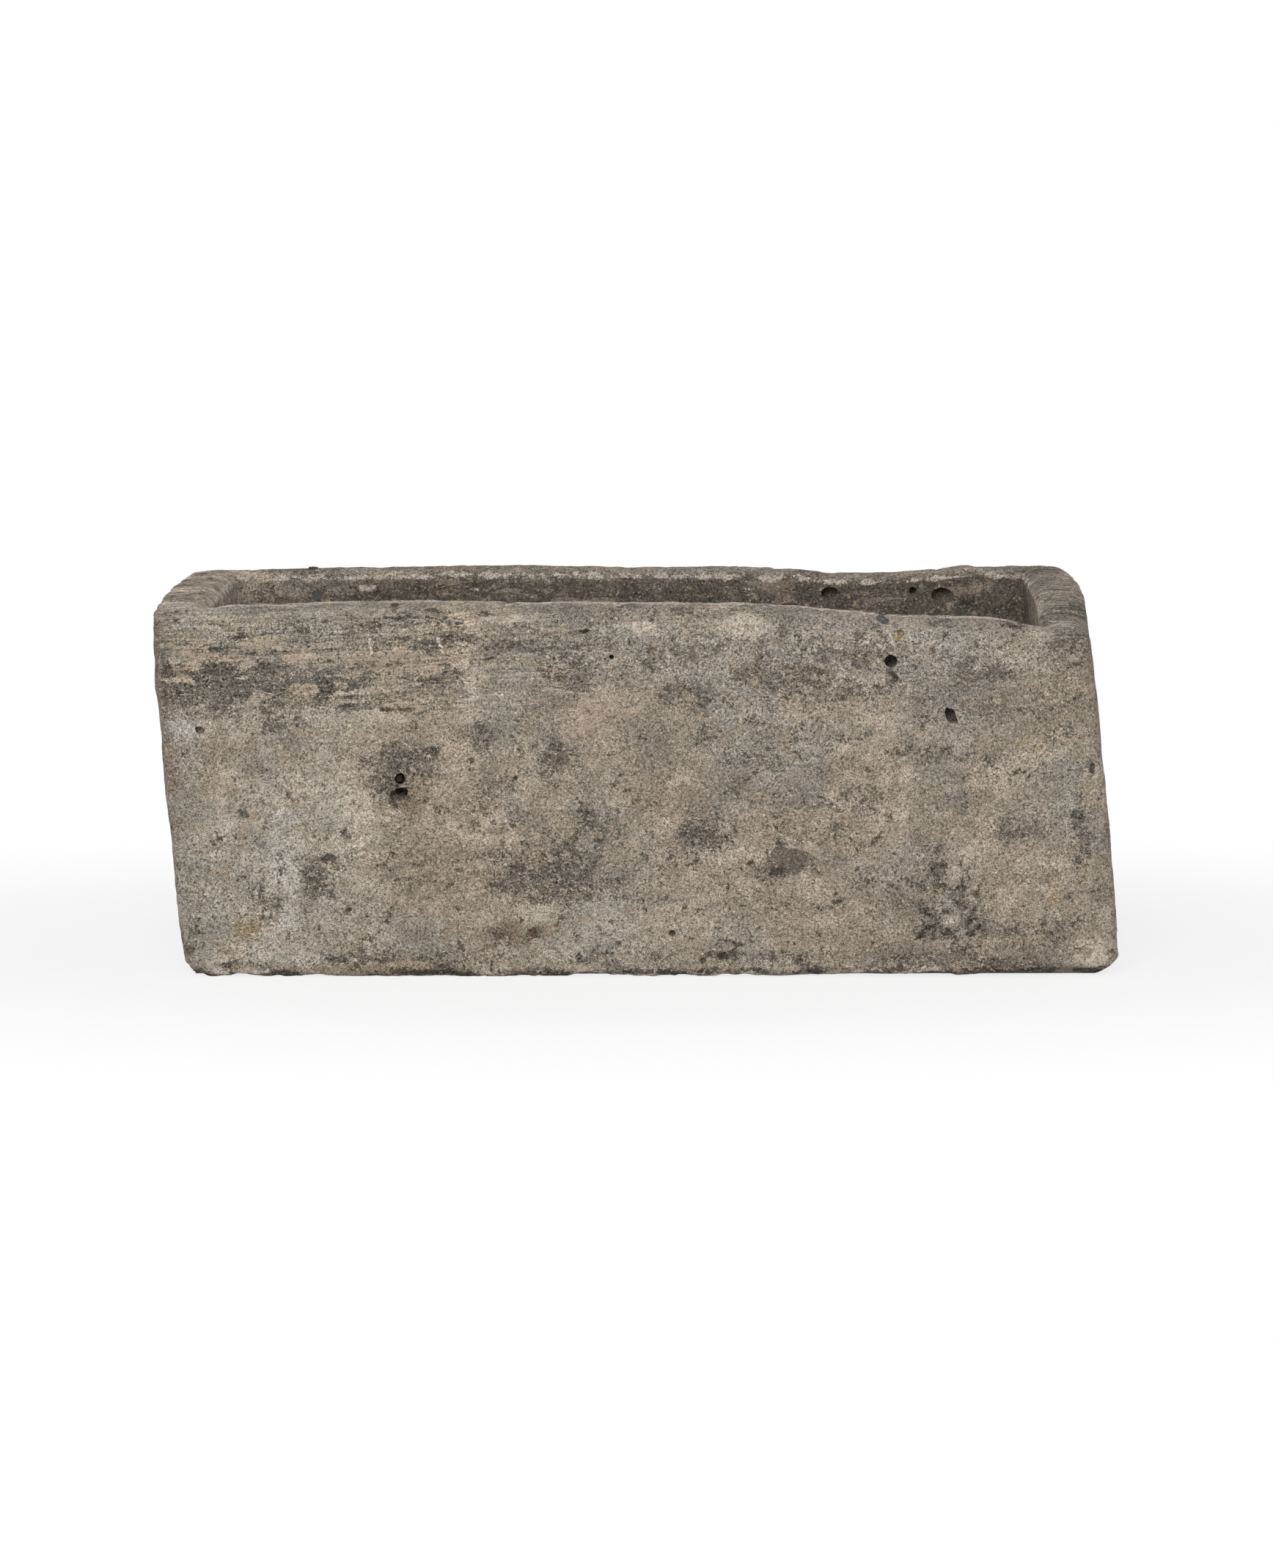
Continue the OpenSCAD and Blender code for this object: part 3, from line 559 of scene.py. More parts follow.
# broad changes of tone on the front, lighter above zero and darker below
tones = [
    (-400, 110, 110, 120, 0.31), (-340, 180, 50, 48, 0.20), (-400, 40, 90, 40, 0.14), (-460, 215, 70, 60, 0.10),
    (-416, 140, 12, 60, 0.22), (-465, 112, 30, 18, 0.12), (-325, 48, 24, 14, 0.18), (-198, 332, 30, 22, 0.26),
    (-350, 325, 130, 30, 0.08), (385, 318, 56, 24, -0.14), (-470, 386, 90, 7, -0.14), (160, 395, 30, 14, -0.12),
    (-270, 250, 28, 70, -0.24), (-264, 120, 28, 70, -0.28), (60, 433, 170, 6, -0.14), (380, 425, 110, 7, -0.12),
    (-255, 335, 60, 16, -0.06), (-290, 60, 20, 60, -0.08), (20, 260, 45, 60, -0.20), (-75, 220, 25, 60, -0.12),
    (-160, 375, 35, 28, -0.18), (126, 415, 28, 12, 0.46), (-165, 140, 30, 22, -0.16), (-170, 48, 34, 16, -0.16),
    (-205, 370, 26, 70, 0.16), (-190, 180, 40, 40, 0.10), (-345, 345, 18, 12, 0.16), (-560, 390, 18, 60, -0.30),
    (180, 378, 36, 18, -0.16), (60, 335, 36, 24, -0.10), (77, 170, 26, 22, -0.26), (250, 390, 50, 14, 0.18),
    (390, 382, 70, 16, 0.18), (395, 340, 60, 22, -0.24), (490, 330, 40, 50, -0.20), (525, 400, 20, 40, -0.22),
    (160, 130, 30, 14, -0.25), (232, 140, 22, 40, -0.16), (165, 168, 40, 14, 0.20), (280, 162, 30, 12, 0.14),
    (240, 185, 40, 14, 0.14), (200, 262, 40, 26, 0.14), (400, 60, 120, 60, -0.12), (330, 95, 26, 40, -0.12),
    (300, 25, 60, 14, -0.20), (430, 25, 70, 14, -0.22), (535, 110, 16, 70, -0.16), (545, 25, 24, 24, 0.25),
    (60, 100, 50, 50, 0.10), (480, 270, 60, 60, 0.06), (-100, 60, 100, 60, 0.13), (-374, 119, 26, 26, -0.15),
    (-124, 123, 60, 34, -0.12), (265, 389, 40, 13, 0.20), (410, 384, 30, 14, 0.14), (195, 28, 40, 16, 0.20),
    (-15, 24, 40, 14, 0.18), (-205, 392, 22, 14, 0.18), (-170, 338, 22, 16, -0.20), (-275, 336, 34, 14, -0.16),
    (-350, 428, 26, 10, -0.14), (270, 328, 26, 14, -0.18), (430, 300, 30, 40, -0.12), (-330, 168, 22, 24, 0.14),
    (-470, 8, 40, 8, -0.20), (495, 392, 18, 18, -0.18), (390, 105, 24, 12, 0.12), (275, 390, 36, 14, 0.16),
    (430, 54, 34, 20, 0.22), (412, 378, 26, 14, 0.14), (515, 185, 14, 22, 0.16), (-370, 208, 24, 18, -0.16),
    (-455, 328, 26, 14, -0.12), (182, 384, 28, 12, -0.16), (5, 290, 34, 34, -0.10), (-60, 8, 20, 8, -0.12),
    (240, 190, 22, 14, 0.12), (-215, 92, 18, 30, 0.12), (-320, 40, 18, 18, 0.14), (-220, 400, 18, 14, 0.14),
    (305, 225, 12, 22, -0.12), (-400, 382, 26, 14, -0.12),
]
# thin pale scores: x, z of both ends, half width, strength
scratches = [
    (-313, 409, -309, 384, 1.1, 0.8), (-235, 408, -226, 386, 1.2, 0.8), (-222, 346, -222, 326, 0.8, 0.4),
    (-379, 425, -379, 405, 1.0, 0.4), (-291, 286, -265, 276, 0.9, 0.6), (-265, 276, -240, 261, 0.9, 0.6),
    (-120, 410, -118, 380, 1.0, 0.4),
]
# thin dark lines of painted shade in cracks, in the same way
cracks = [
    (96, 45, 110, 43.5, 0.9, 1.0), (110, 43.5, 123, 39.5, 1.4, 1.0), (123, 39.5, 114, 33, 0.7, 0.8),
    (114, 33, 103, 30, 0.6, 0.7), (96, 45, 90, 33, 0.6, 0.6), (153, 151, 155, 143, 0.7, 0.9),
    (155, 143, 154, 138, 0.9, 1.0), (154, 138, 163, 137, 0.9, 1.0), (163, 137, 172, 132, 0.8, 0.9),
    (172, 132, 186, 127, 0.5, 0.5), (196, 150, 203, 141, 0.5, 0.6), (-470, 345, -380, 339, 0.8, 0.6),
    (-380, 339, -300, 330, 0.8, 0.6), (-350, 322, -250, 316, 0.7, 0.6), (-330, 372, -240, 367, 0.6, 0.5),
    (-430, 395, -360, 391, 0.6, 0.5), (-40, 214, -26, 196, 0.6, 0.4), (-215, 360, -165, 352, 0.6, 0.5),
]


def paintStone(block):  # writes the marks as soft masks on the points of the stone
    co, way = readPoints(block), readPoints(block, "normal")
    place = zones(co)
    front, hollow, rim = place["front"], place["hollow"], place["rim"]
    away = 1 - front
    mx, my, mz = co.T
    x, z = mx * 1000, mz * 1000
    bendX, bendZ = 9 * clouds(co, 0.040, 3, seed=21), 7 * clouds(co, 0.035, 3, seed=22)
    fineX, fineZ = 2.0 * clouds(co, 0.009, 2, seed=23), 2.0 * clouds(co, 0.009, 2, seed=24)
    flow = {kind: np.zeros(len(co)) for kind in marks}

    def deepen(kind, values):
        flow[kind] = np.maximum(flow[kind], values)

    for kind, spots in marks.items():
        for spotX, spotZ, wide, tall, strength in spots:
            share = min(1, (wide + tall) / 60)
            dx, dz = x + bendX * share + fineX - spotX, z + bendZ * share + fineZ - spotZ
            cover = strength * (1 - ease(np.hypot(dx / wide, dz / tall), 0.30, 1.55))
            flow[kind] = 1 - (1 - flow[kind]) * (1 - cover)
        flow[kind] *= front

    def drawLines(lines):
        drawn = np.zeros(len(co))
        for x0, z0, x1, z1, wide, strength in lines:
            runX, runZ = x1 - x0, z1 - z0
            along = np.clip(((x - x0) * runX + (z - z0) * runZ) / (runX ** 2 + runZ ** 2), 0, 1)
            off = np.hypot(x - x0 - along * runX + 0.5 * fineX, z - z0 - along * runZ + 0.5 * fineZ)
            drawn = np.maximum(drawn, strength * (1 - ease(off, 0.5 * wide, 2.0 * wide)))
        return drawn * front

    flow["scratch"] = drawLines(scratches)
    deepen("creviceShade", drawLines(cracks))
    flow["flaky"] = np.clip(1.25 * flow["crustAndShade"], 0, 1)
    flow["crustAndShade"] = 0.84 * flow["crustAndShade"]
    wobble = clouds(co, 0.010, 3, seed=11)
    for knobX, knobZ, radius, _ in knobs:
        reach = np.hypot(mx - knobX, (mz - knobZ) * 1.15) * (1 + 0.80 * wobble) / radius
        # painted shade in the low gap round each knob
        gapShade = ease(clouds(co, 0.012, 2, seed=knobX * 50), -0.60, -0.05) * bell(reach, 1.12, 0.24)
        deepen("creviceShade", 0.46 * gapShade * front)
        if radius < 0.010:
            deepen("crustAndShade", 0.60 * (1 - ease(reach, 0.7, 1.3)) * front)
    shade = np.zeros(len(co))
    for spotX, spotZ, wide, tall, amount in tones:
        shade += amount * (1 - ease(np.hypot((x + bendX - spotX) / wide, (z + bendZ - spotZ) / tall), 0.2, 1.5))
    flow["tone"] = 0.5 + 0.55 * shade * front
    deepen("bloom", 0.5 * front * (1 - ease(np.hypot(x - 370, z - 76), 20, 50)))
    ragged = front * ease(-z, -20, -3)
    foot = clouds(co, 0.045, 4, stretch=(1.6, 1, 0.5), seed=26)
    deepen("crustAndShade", ragged * (0.50 + 1.4 * foot))
    # painted shade in the undercuts of the ragged foot
    deepen("creviceShade", ragged * 0.85 * ease(foot, -0.05, 0.25) * ease(-z, -12, -4))
    deepen("pale", ragged * ease(-foot, -0.04, 0.24) * 0.95)

    # the other sides carry the same kinds of mark, strewn by noise
    flow["tone"] += away * (0.14 * clouds(co, 0.120, 3, seed=28) + 0.16 * rim * ease(-mx, 0.42, 0.50))
    for kind, amount, size, seed, low, high, dry in (  # dry: how much of it the hollow goes without
            ("crustAndShade", 0.50, 0.110, 31, 0.05, 0.55, 0.65), ("flaky", 0.60, 0.110, 31, -0.10, 0.40, 0.94),
            ("pale", 0.50, 0.140, 32, 0.15, 0.60, 1), ("bloom", 0.50, 0.090, 33, 0.15, 0.60, 0.85),
            ("brown", 0.40, 0.130, 34, 0.15, 0.60, 0)):
        flow[kind] += away * amount * ease(clouds(co, size, 3, seed=seed), low, high) * (1 - dry * hollow)
    pin = middleOf("back_rim_pin")[2]
    deepen("rust", (1 - ease(np.hypot(mx - pin[0], my - pin[1]), 0.006, 0.016)) * (mz > 0.42))
    # partly damp stain and partly painted shade inside the hollow, darkest below the worn rim; painted light makes
    # the lower hollow and the upper inner ends lighter where they lie in shade
    fromRim, onBack = stone["height"] - mz, my > 0.1
    # damp stain and painted shade: the hollow darker inside, most just below the rim
    inside = hollow * (0.72 + 0.50 * ease(fromRim, 0.004, 0.070)) * (1 - 0.40 * ease(-mx, 0.25, 0.42) * onBack)
    inside *= 1.05 + 0.42 * ease(mx, -0.30, 0.40)
    # painted light: the lower hollow made lighter where the walls shade it
    inside *= 1 - 0.72 * ease(fromRim, 0.120, 0.330)
    # painted light: the upper inner end faces made lighter, paler and less dark where the front wall shades them
    paintedLightEnds = ease(np.abs(way[:, 0]), 0.45, 0.80) * ease(mz, 0.24, 0.36) * hollow
    paintedLightEnds *= 1 - 0.75 * ease(my, -0.02, 0.12) * (mx > 0)
    inside *= 1 - 0.88 * paintedLightEnds
    flow["tone"] += 0.13 * paintedLightEnds
    flow["bloom"] += 0.35 * paintedLightEnds
    chipped = hollow * onBack * ease(mz, 0.404, 0.436) * ease(clouds(co, 0.013, 4, seed=25), 0.02, 0.40)
    flow["pale"] += 0.50 * chipped
    flow["dampAndShade"] = np.clip(inside, 0, 1) * (1 - 0.4 * chipped)
    # limescale and rust round the waste
    nearWaste = np.hypot(mx - stone["wasteAt"][0], my) * (1 + 0.3 * clouds(co, 0.050, 3, seed=29))
    flow["pale"] += hollow * 0.55 * (1 - ease(np.abs(nearWaste - 0.062), 0.004, 0.022)) * (mz < 0.12)
    flow["brown"] += hollow * 0.60 * (1 - ease(nearWaste, 0.045, 0.110)) * (mz < 0.12)
    flow["bloom"] += hollow * 0.45 * ease(clouds(co, 0.150, 3, seed=30), -0.1, 0.5) * (mz < 0.20)
    flow["streaky"] = front * ease(z, 290, 350) * (1 - 0.75 * ease(x, -180, 40))
    # pale worn edges, painted shade on the top of the rim, and the ribs of the ends
    upward = way[:, 2]
    lip = np.exp(-np.abs(place["inner"]) / 0.006) * ease(upward, 0.02, 0.35)
    crest = 0.85 * ease(upward, 0.955, 0.990) * ease(-my, 0.120, 0.160)
    flow["edge"] = np.clip(rim * (lip + np.exp(-np.abs(place["depth"]) / 0.012) * onBack + crest), 0, 1)
    # painted shade: the top of the rim made darker against the light falling on it from above, darker still at the
    # right end
    top = ease(upward, 0.2, 0.8) * rim * (1 - ease(-my, 0.080, 0.190))
    flow["crustAndShade"] += 0.16 * top
    deepen("dampAndShade", top * (0.16 + 0.20 * ease(mx, 0.40, 0.50)))
    flow["ends"] = np.clip(place["endward"] * away * (0.68 + 0.40 * rim) + 0.30 * paintedLightEnds, 0, 1)
    for kind, values in flow.items():
        layer = block.data.attributes.new(kind, "FLOAT", "POINT")
        layer.data.foreach_set("value", np.clip(values, 0, 1))
    print("stone painted:", len(flow), "masks")


class wire:  # the output of a node, which adds, subtracts and multiplies as a number does
    def __init__(self, tree, socket):
        self.tree, self.socket = tree, socket

    def maths(self, operation, a, b=0.0):
        return put("Math", {0: a, 1: b}, self.tree, operation=operation)[0]

    def __add__(self, other):
        return self.maths("ADD", self, other)

    def __sub__(self, other):
        return self.maths("SUBTRACT", self, other)

    def __rsub__(self, other):
        return self.maths("SUBTRACT", other, self)

    def __mul__(self, other):
        return self.maths("MULTIPLY", self, other)

    def __or__(self, other):  # the greater of the two
        return self.maths("MAXIMUM", self, other)

    __radd__, __rmul__ = __add__, __mul__


def put(kind, links, tree=None, **settings):  # adds a node with its settings and inputs, and gives its outputs
    tree = tree or next(value.tree for value in links.values() if isinstance(value, wire))
    made = tree.nodes.new("ShaderNode" + kind)
    for name, value in settings.items():
        setattr(made, name, value)
    for socket, value in links.items():
        if isinstance(value, wire):
            tree.links.new(value.socket, made.inputs[socket])
        else:
            made.inputs[socket].default_value = value
    wires = [wire(tree, socket) for socket in made.outputs]
    return {**dict(enumerate(wires)), **{each.socket.name: each for each in reversed(wires)}}


def remap(value, low, high, toLow=0.0, toHigh=1.0, smooth=False):
    limits = {"Value": value, "From Min": low, "From Max": high, "To Min": toLow, "To Max": toHigh}
    return put("MapRange", limits, interpolation_type="SMOOTHSTEP" if smooth else "LINEAR")[0]


def step(value, low, high, toLow=0.0, toHigh=1.0):
    return remap(value, low, high, toLow, toHigh, smooth=True)


def mix(amount, a, b, mode="MIX"):
    return put("Mix", {0: amount, 6: a, 7: b}, data_type="RGBA", blend_type=mode)[2]


def choose(amount, a, b):
    return put("Mix", {0: amount, 2: a, 3: b})[0]


def grey(value):
    return put("CombineColor", {0: value, 1: value, 2: value})[0]


def darken(base, value):
    return mix(1.0, base, grey(value), "MULTIPLY")


def vectors(operation, a, b):
    return put("VectorMath", {0: a, "Scale" if operation == "SCALE" else 1: b}, operation=operation)[0]


def mapping(where, **inputs):
    return put("Mapping", {"Vector": where, **inputs})[0]


def clumps(where, scale, detail=4.0, roughness=0.55, warp=0.0):
    inputs = {"Vector": where, "Scale": scale, "Detail": detail, "Roughness": roughness, "Distortion": warp}
    return put("TexNoise", inputs)[0]


def makeGroup(name, ins, outs, build):  # a node group whose inputs have these defaults; one without is a vector
    tree = bpy.data.node_groups.new(name, "ShaderNodeTree")
    for label, value in ins.items():
        kind = "NodeSocketVector" if value is None else "NodeSocketFloat"
        socket = tree.interface.new_socket(label, in_out="INPUT", socket_type=kind)
        if value is not None:
            socket.default_value = value
    for label in outs:
        tree.interface.new_socket(label, in_out="OUTPUT", socket_type="NodeSocketFloat")
    come, go = tree.nodes.new("NodeGroupInput"), tree.nodes.new("NodeGroupOutput")
    for label, result in zip(outs, build(*(wire(tree, come.outputs[label]) for label in ins))):
        tree.links.new(result.socket, go.inputs[label])
    return lambda *values: put("Group", dict(zip(ins, values)), node_tree=tree)


def buildGrain(where, size):  # mineral grain: light and dark specks of two sizes, as a value round 0.5, and a height
    scaled = vectors("SCALE", where, size)
    mixed = clumps(scaled, 250, 1, 0.6) * 0.32 + clumps(scaled, 560, 1, 0.6) * 0.68
    return remap(mixed, 0.34, 0.66), mixed


def buildBeds(where, spacing):  # thin upright beds of the stone, seen edge on: lines that wander a little
    wander = put("TexNoise", {"Vector": where, "Scale": 9.0, "Detail": 3.0})["Color"]
    bent = vectors("ADD", where, vectors("MULTIPLY", wander, (0.012, 0.012, 0.012)))
    tight = vectors("SCALE", vectors("MULTIPLY", bent, (6.0, 420.0, 10.0)), spacing)
    return [step(clumps(tight, 1.0, 3, 0.6), 0.33, 0.67)]


def buildFlakes(where, scale):  # flat flakes with a thin painted shadow along the edge where one lies over the next
    heap = clumps(where, scale, 4.5, 0.56, 0.4)
    away = heap.maths("ABSOLUTE", heap - 0.556)
    return step(heap, 0.560, 0.580), step(away, 0.004, 0.018, 1.0, 0.0)


def buildStain(mask, pattern, softness):  # a soft mask broken into speckled patches by a pattern from 0 to 1
    half = softness * 0.5
    return [step(mask + pattern, 1.0 - half, half + 1.0)]


flakesOf = makeGroup("flakes", {"Vector": None, "Scale": 70.0}, ("Flake", "Outline"), buildFlakes)
stainOf = makeGroup("brokenStain", {"Mask": 0.5, "Pattern": 0.5, "Softness": 0.3}, ("Amount",), buildStain)
grainOf = makeGroup("grain", {"Vector": None, "Size": 1.0}, ("Value", "Height"), buildGrain)
bedsOf = makeGroup("beds", {"Vector": None, "Spacing": 1.0}, ("Lines",), buildBeds)
print("node groups ready")


def newMaterial(name):
    material = bpy.data.materials.new(name)
    material.use_nodes = True
    tree = material.node_tree
    return tree, put("TexCoord", {}, tree)["Object"], material


def finishMaterial(material, base, rough, height, strength, depth, metal=None, specular=None):
    shader = material.node_tree.nodes["Principled BSDF"]
    bump = put("Bump", {"Height": height, "Strength": strength, "Distance": depth})[0]
    for socket, source in {"Base Color": base, "Roughness": rough, "Metallic": metal, "Normal": bump}.items():
        if source:
            material.node_tree.links.new(source.socket, shader.inputs[socket])
    if specular:
        shader.inputs["Specular IOR Level"].default_value = specular
    return material


stoneColours = {  # linear
    "buff": (0.365, 0.300, 0.235, 1), "grey": (0.300, 0.268, 0.222, 1), "pale": (0.600, 0.520, 0.435, 1),
    "streak": (0.400, 0.318, 0.245, 1), "bloom": (0.470, 0.435, 0.385, 1), "crustAndShade": (0.122, 0.107, 0.086, 1),
    # the dark pit colour also serves for painted shade in crevices and under flake edges
    "pitAndShade": (0.035, 0.028, 0.021, 1), "brown": (0.200, 0.140, 0.095, 1), "lichen": (0.340, 0.255, 0.120, 1),
    "rust": (0.150, 0.095, 0.060, 1), "mortar": (0.345, 0.315, 0.270, 1), "chert": (0.150, 0.126, 0.098, 1),
    "slate": (0.098, 0.098, 0.100, 1), "flake": (0.395, 0.332, 0.266, 1), "dampAndShade": (0.085, 0.072, 0.056, 1),
}


def makeSandstone():
    tree, where, material = newMaterial("weatheredSandstone")
    colour = stoneColours
    # the marks that run down to the foot stop at the underside, whose faces are long
    facing = put("SeparateXYZ", {0: put("NewGeometry", {}, tree)["True Normal"]})[2]
    above = step(facing, -0.985, -0.940)

    def mask(name):
        value = put("Attribute", {}, tree, attribute_name=name)["Fac"]
        return value * above if name in ("crustAndShade", "flaky", "creviceShade", "pale") else value

    elsewhere = mapping(where, Location=(3.1, 1.7, 5.3), Scale=(0.70, 1.0, 1.0))
    grain, lines = grainOf(where, 1.0), bedsOf(where, 1.0)[0]
    big, middle = clumps(where, 6.5, 5, 0.55), clumps(elsewhere, 26, 8, 0.66)
    streaky, flaky = mask("streaky"), mask("flaky")

    # patterns from 0 to 1 that break up the stains: even all round, and drawn out sideways where the beds crop out
    even = remap(clumps(where, 40, 4.5, 0.88), 0.37, 0.63)
    drawn = remap(clumps(mapping(where, Scale=(0.40, 1.0, 1.0)), 52, 4.5, 0.85, 0.1), 0.37, 0.63)
    pattern = choose(streaky, even, drawn)
    plain = remap(clumps(mapping(where, Rotation=(0, 0.06, 0), Scale=(0.26, 1.0, 1.0)), 62, 3, 0.5, 0.5), 0.37, 0.63)
    other = remap(clumps(elsewhere, 50, 4.5, 0.85), 0.37, 0.63)
    calm = other * 0.4 + 0.3
    amounts = {}

    def cover(base, layers):  # mask, pattern, softness, how much more of it, strength, colour
        for name, broken, softness, more, strength, tint in layers:
            amounts[name] = stainOf(mask(name) + more, broken, softness)[0]
            base = mix(amounts[name] * strength, base, colour[tint])
        return base

    broad = (mask("tone") - 0.5) * remap(other, 0.0, 1.0, 1.6, 3.4)
    tone = remap(middle, 0.30, 0.70, 0.56, 1.44) * (1.04 - mask("crustAndShade") * 0.22) * (broad + 1.0)
    base = darken(mix(step(big, 0.40, 0.60), colour["grey"], colour["buff"]), tone)
    base = cover(base, [("bloom", other, 0.9, 0.06, 0.85, "bloom"), ("pale", other, 0.5, 0.04, 1.0, "pale"),
                        ("brown", other, 1.2, 0.0, 0.75, "brown"), ("mortar", other, 0.8, 0.0, 0.85, "mortar")])
    # damp stain and painted shade, in the hollow and on the rim top
    base = mix(stainOf(mask("dampAndShade") * 1.12, other, 1.4)[0] * 0.88, base, colour["dampAndShade"])
    # crust, with the painted shade on the rim top
    base = cover(base, [("crustAndShade", pattern, 0.32, 0.06, 0.82, "crustAndShade"), ("streak", plain, 0.14, 0.0, 0.92, "streak")])
    # flat flakes of clean stone: small ones all round, long ones in the band below the left half of the rim
    band = mapping(where, Location=(3.1, 1.7, 5.3), Rotation=(0, 0.07, 0), Scale=(0.24, 1.0, 0.72))
    small, wide = flakesOf(where, 68.0), flakesOf(band, 68.0)
    flake = choose(streaky, small["Flake"], wide["Flake"]) * flaky * (streaky * 0.38 + 0.62)
    flakeEdgeShadow = choose(streaky, small["Outline"], wide["Outline"]) * flaky
    base = mix(flake * 0.88, base, colour["flake"])
    # painted shadow along the edges of the flakes
    base = mix(flakeEdgeShadow * 0.78, base, colour["pitAndShade"])
    # painted shade in crevices and cracks, then lichen, inclusions, rust, scores and worn edges
    base = cover(base, [("creviceShade", pattern, 0.35, 0.10, 0.8, "pitAndShade"), ("lichen", other, 0.8, 0.0, 0.8, "lichen"),
                        ("chert", calm, 0.3, 0.0, 1.0, "chert"), ("slate", calm, 0.3, 0.0, 1.0, "slate"),
                        ("rust", other, 0.7, 0.0, 0.9, "rust"), ("scratch", other, 0.5, 0.0, 0.7, "pale"),
                        ("edge", pattern, 0.25, -0.14, 0.8, "pale")])
    # dark pits and light grains, more of both in the crust
    pits = step(clumps(where, 300, 1, 0.7), 0.62, 0.69) | step(clumps(elsewhere, 640, 1, 0.7), 0.64, 0.72)
    base = mix(pits * (mask("crustAndShade") * 0.4 + 0.55), base, colour["pitAndShade"])
    base = mix(step(clumps(elsewhere, 340, 1, 0.7), 0.63, 0.70) * 0.55, base, colour["pale"])
    upright = mapping(where, Rotation=(math.pi / 2, 0, 0.06), Scale=(0.8, 0.8, 0.8))
    base = darken(base, (bedsOf(upright, 1.0)[0] - 0.5) * streaky * 0.42 + 1.0)
    ribs = (lines - 0.5) * mask("ends") * 1.15 + 1.0
    # the grain is coarse in the crust and fine on the worn buff stone
    coarse = 1.22 - (amounts["pale"] * 0.45 + (flake | amounts["streak"]) * 0.55) + flaky * 0.50
    base = darken(base, ribs * ((grain["Value"] - 0.5) * coarse + 1.0))

    height = grain["Height"] * 1.2 + pattern * 0.35 + (ribs * 0.8 + pits * -0.4) + flake * 0.45
    return finishMaterial(material, base, remap(middle, 0.35, 0.65, 0.80, 0.96), height, 0.8, 0.0020, specular=0.25)


def dress(obj, material):
    obj.data.materials.clear()
    obj.data.materials.append(material)
    obj.data.polygons.foreach_set("material_index", np.zeros(len(obj.data.polygons), int))


trough = cutBlock()
weatherStone(trough)
cutDetails(trough)
paintStone(trough)
dress(trough, makeSandstone())
selectOnly(trough)
bpy.ops.object.shade_smooth_by_angle(angle=math.radians(50))
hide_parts("trough_body")
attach(trough, "trough")
print("trough done")


# turns (radius, height) pairs in millimetres round an upright axis
def lathe(name, centre, profile, sides=96, solid=False):
    selectOnly()
    radius, height = profile[0]
    bpy.ops.mesh.primitive_circle_add(vertices=sides, radius=radius / 1000, location=(*centre, height / 1000),
                                      fill_type="NGON" if solid else "NOTHING")
    obj = nameNew(name)
    pickAll(obj)
    was = profile[0]
    for now in profile[1:] + ([] if solid else profile[:1]):
        bpy.ops.mesh.extrude_edges_move(TRANSFORM_OT_translate={"value": (0, 0, (now[1] - was[1]) / 1000)})
        widen = now[0] / was[0]
        bpy.ops.transform.resize(value=(widen, widen, 1), center_override=(*centre, now[1] / 1000))
        was = now
    if solid:
        bpy.ops.mesh.edge_face_add()
    leaveEdit()
    mergeDoubles(obj, 1e-6, outward=True)
    return obj


def soften(obj, width):  # rounds the sharp edges
    applyModifier(obj, "BEVEL", width=width, segments=2, limit_method="ANGLE", angle_limit=math.radians(30))


def roughen(obj, amount, size, seed, where):
    co = readPoints(obj)
    push = amount * clouds(co, size, 3, seed=seed) * where(co)
    setPoints(obj, co + readPoints(obj, "normal") * push[:, None])


def finishPiece(obj, material, node, body, smooth=40):
    dress(obj, material)
    mergeDoubles(obj, 2e-6, outward=True)
    bpy.ops.object.shade_smooth_by_angle(angle=math.radians(smooth))
    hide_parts(node)
    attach(obj, body)


def makeBrass():
    tree, where, material = newMaterial("agedBrass")
    scores = clumps(mapping(where, Scale=(1.0, 1.0, 9.0)), 700, 3, 0.6)
    spots = clumps(where, 620, 4, 0.7)
    tarnish = stainOf(step(clumps(where, 95, 5, 0.65), 0.30, 0.70), step(spots, 0.25, 0.75), 1.6)[0]
    green = stainOf(step(clumps(where, 75, 3, 0.6), 0.50, 0.80, 0.0, 0.65), step(spots, 0.30, 0.70), 0.8)[0]
    base = mix(step(scores, 0.3, 0.7), (0.48, 0.335, 0.145, 1), (0.38, 0.26, 0.11, 1))
    base = mix(tarnish * 0.72, base, (0.170, 0.110, 0.055, 1))
    base = mix(green * 0.45, base, (0.130, 0.190, 0.140, 1))
    height = scores * 0.4 + grainOf(where, 2.2)["Height"] * 0.6
    rough = remap(scores, 0.3, 0.7, 0.24, 0.40) + tarnish * 0.22
    return finishMaterial(material, base, rough, height, 0.35, 0.0003, metal=1.0 - green * 0.8)


def makeRubber():
    tree, where, material = newMaterial("agedRubber")
    grain = grainOf(where, 2.5)
    dust = stainOf(step(clumps(where, 90, 4, 0.6), 0.4, 0.7), grain["Value"], 0.8)[0]
    base = mix(grain["Value"], (0.022, 0.021, 0.020, 1), (0.040, 0.038, 0.036, 1))
    base = mix(dust * 0.45, base, (0.170, 0.155, 0.130, 1))
    return finishMaterial(material, base, remap(dust, 0.0, 1.0, 0.46, 0.85), grain["Height"], 0.4, 0.0003)


def makeNylon():
    tree, where, material = newMaterial("yellowedNylon")
    grain = grainOf(where, 2.0)
    dirt = stainOf(step(clumps(where, 70, 4, 0.6), 0.4, 0.7), grain["Value"], 0.9)[0]
    base = mix(step(clumps(where, 40, 2), 0.35, 0.65), (0.75, 0.73, 0.66, 1), (0.66, 0.61, 0.49, 1))
    base = mix(dirt * 0.5, base, (0.230, 0.190, 0.140, 1))
    return finishMaterial(material, base, remap(dirt, 0.0, 1.0, 0.38, 0.70), grain["Height"], 0.2, 0.0002)


